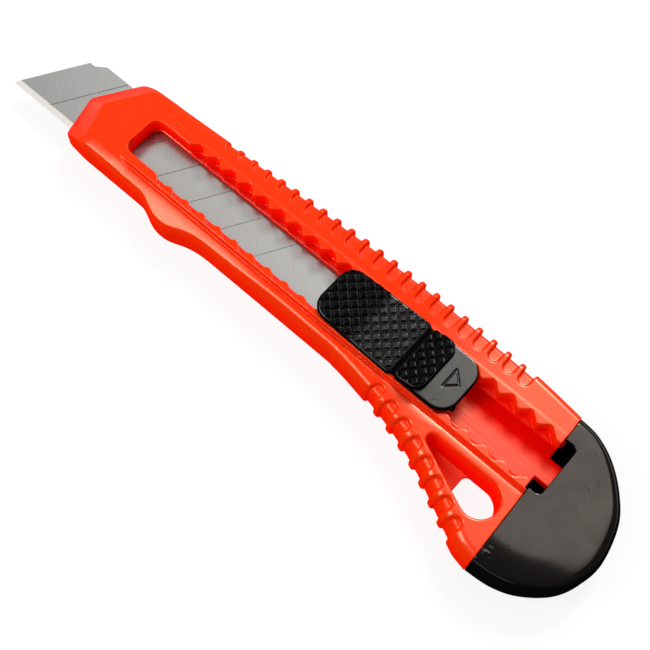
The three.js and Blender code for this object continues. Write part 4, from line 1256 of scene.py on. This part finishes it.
class KNIFE_OT_stage(bpy.types.Operator):
    """Lay out the backdrop sheet, the softboxes and the camera"""

    bl_idname = "knife.stage"
    bl_label = "Stage"

    def execute(self, context):
        s = context.scene.knife_stage
        scene = context.scene
        mesh = bpy.data.meshes.new("backdrop")
        corners = [(x * SHEET_REACH, y * SHEET_REACH, 0) for x, y in ((-1, -1), (1, -1), (1, 1), (-1, 1))]
        mesh.from_pydata(corners, [], [(0, 1, 2, 3)])
        sheet = bpy.data.objects.new("backdrop", mesh)
        scene.collection.objects.link(sheet)
        dress(sheet, backdrop_paper(s.floor, s.floor_glow))

        scene.world = room(s.fill)
        softbox("overhead softbox", s.overhead, (1.1, 1.02), (-0.25, 0.7, 0.75), (-0.25, 0.6, 0))
        softbox("key light", s.key, (0.2, 0.2), (-0.1, 0.64, 0.66), (0, 0, 0))
        softbox("side softbox", s.side, (0.3, 0.42), (-0.31, -0.28, 0.61), (-0.03, -0.01, 0))
        softbox("side wash", s.wash, (1.2, 0.5), (0, -0.9, 0.35), (0, 0, 0))

        data = bpy.data.cameras.new("camera")
        data.lens = s.lens
        data.clip_start, data.clip_end = 0.01, 20
        camera = bpy.data.objects.new("camera", data)
        scene.collection.objects.link(camera)
        outwards = Vector((
            math.sin(s.azimuth) * math.cos(s.elevation),
            -math.cos(s.azimuth) * math.cos(s.elevation),
            math.sin(s.elevation),
        ))
        aim = Vector(to_scene(CAMERA_AIM))
        camera.location = aim + outwards * s.distance
        camera.rotation_mode = "QUATERNION"
        camera.rotation_quaternion = (-outwards).to_track_quat("-Z", "Y") @ Quaternion((0, 0, 1), s.roll)
        scene.camera = camera
        scene.view_settings.view_transform = "Standard"
        return {"FINISHED"}


class KNIFE_PT_panel(bpy.types.Panel):
    """Sizes, colours and pieces of the utility knife"""

    bl_idname = "KNIFE_PT_panel"
    bl_label = "Utility knife"
    bl_space_type = "VIEW_3D"
    bl_region_type = "UI"
    bl_category = "Knife"

    def draw(self, context):
        for name in SETTINGS:
            box = self.layout.box()
            group = getattr(context.scene, name)
            for field in group.__annotations__:
                box.prop(group, field)
        for operator in OPERATORS:
            self.layout.operator(operator.bl_idname)


SETTINGS = {
    "knife_handle": HandleSettings,
    "knife_cap": CapSettings,
    "knife_slides": SlideSettings,
    "knife_finish": FinishSettings,
    "knife_stage": StageSettings,
}
OPERATORS = (
    KNIFE_OT_handle,
    KNIFE_OT_end_cap,
    KNIFE_OT_slides,
    KNIFE_OT_studs,
    KNIFE_OT_steel,
    KNIFE_OT_stage,
)


def register():
    for group in SETTINGS.values():
        bpy.utils.register_class(group)
    for kind in (*OPERATORS, KNIFE_PT_panel):
        bpy.utils.register_class(kind)
    for name, group in SETTINGS.items():
        setattr(bpy.types.Scene, name, bpy.props.PointerProperty(type=group))


def unregister():
    for name in SETTINGS:
        delattr(bpy.types.Scene, name)
    for kind in (KNIFE_PT_panel, *reversed(OPERATORS), *reversed(list(SETTINGS.values()))):
        bpy.utils.unregister_class(kind)


def main():
    register()
    for operator in OPERATORS:
        group, name = operator.bl_idname.split(".")
        getattr(getattr(bpy.ops, group), name)()


if __name__ == "__main__":
    main()
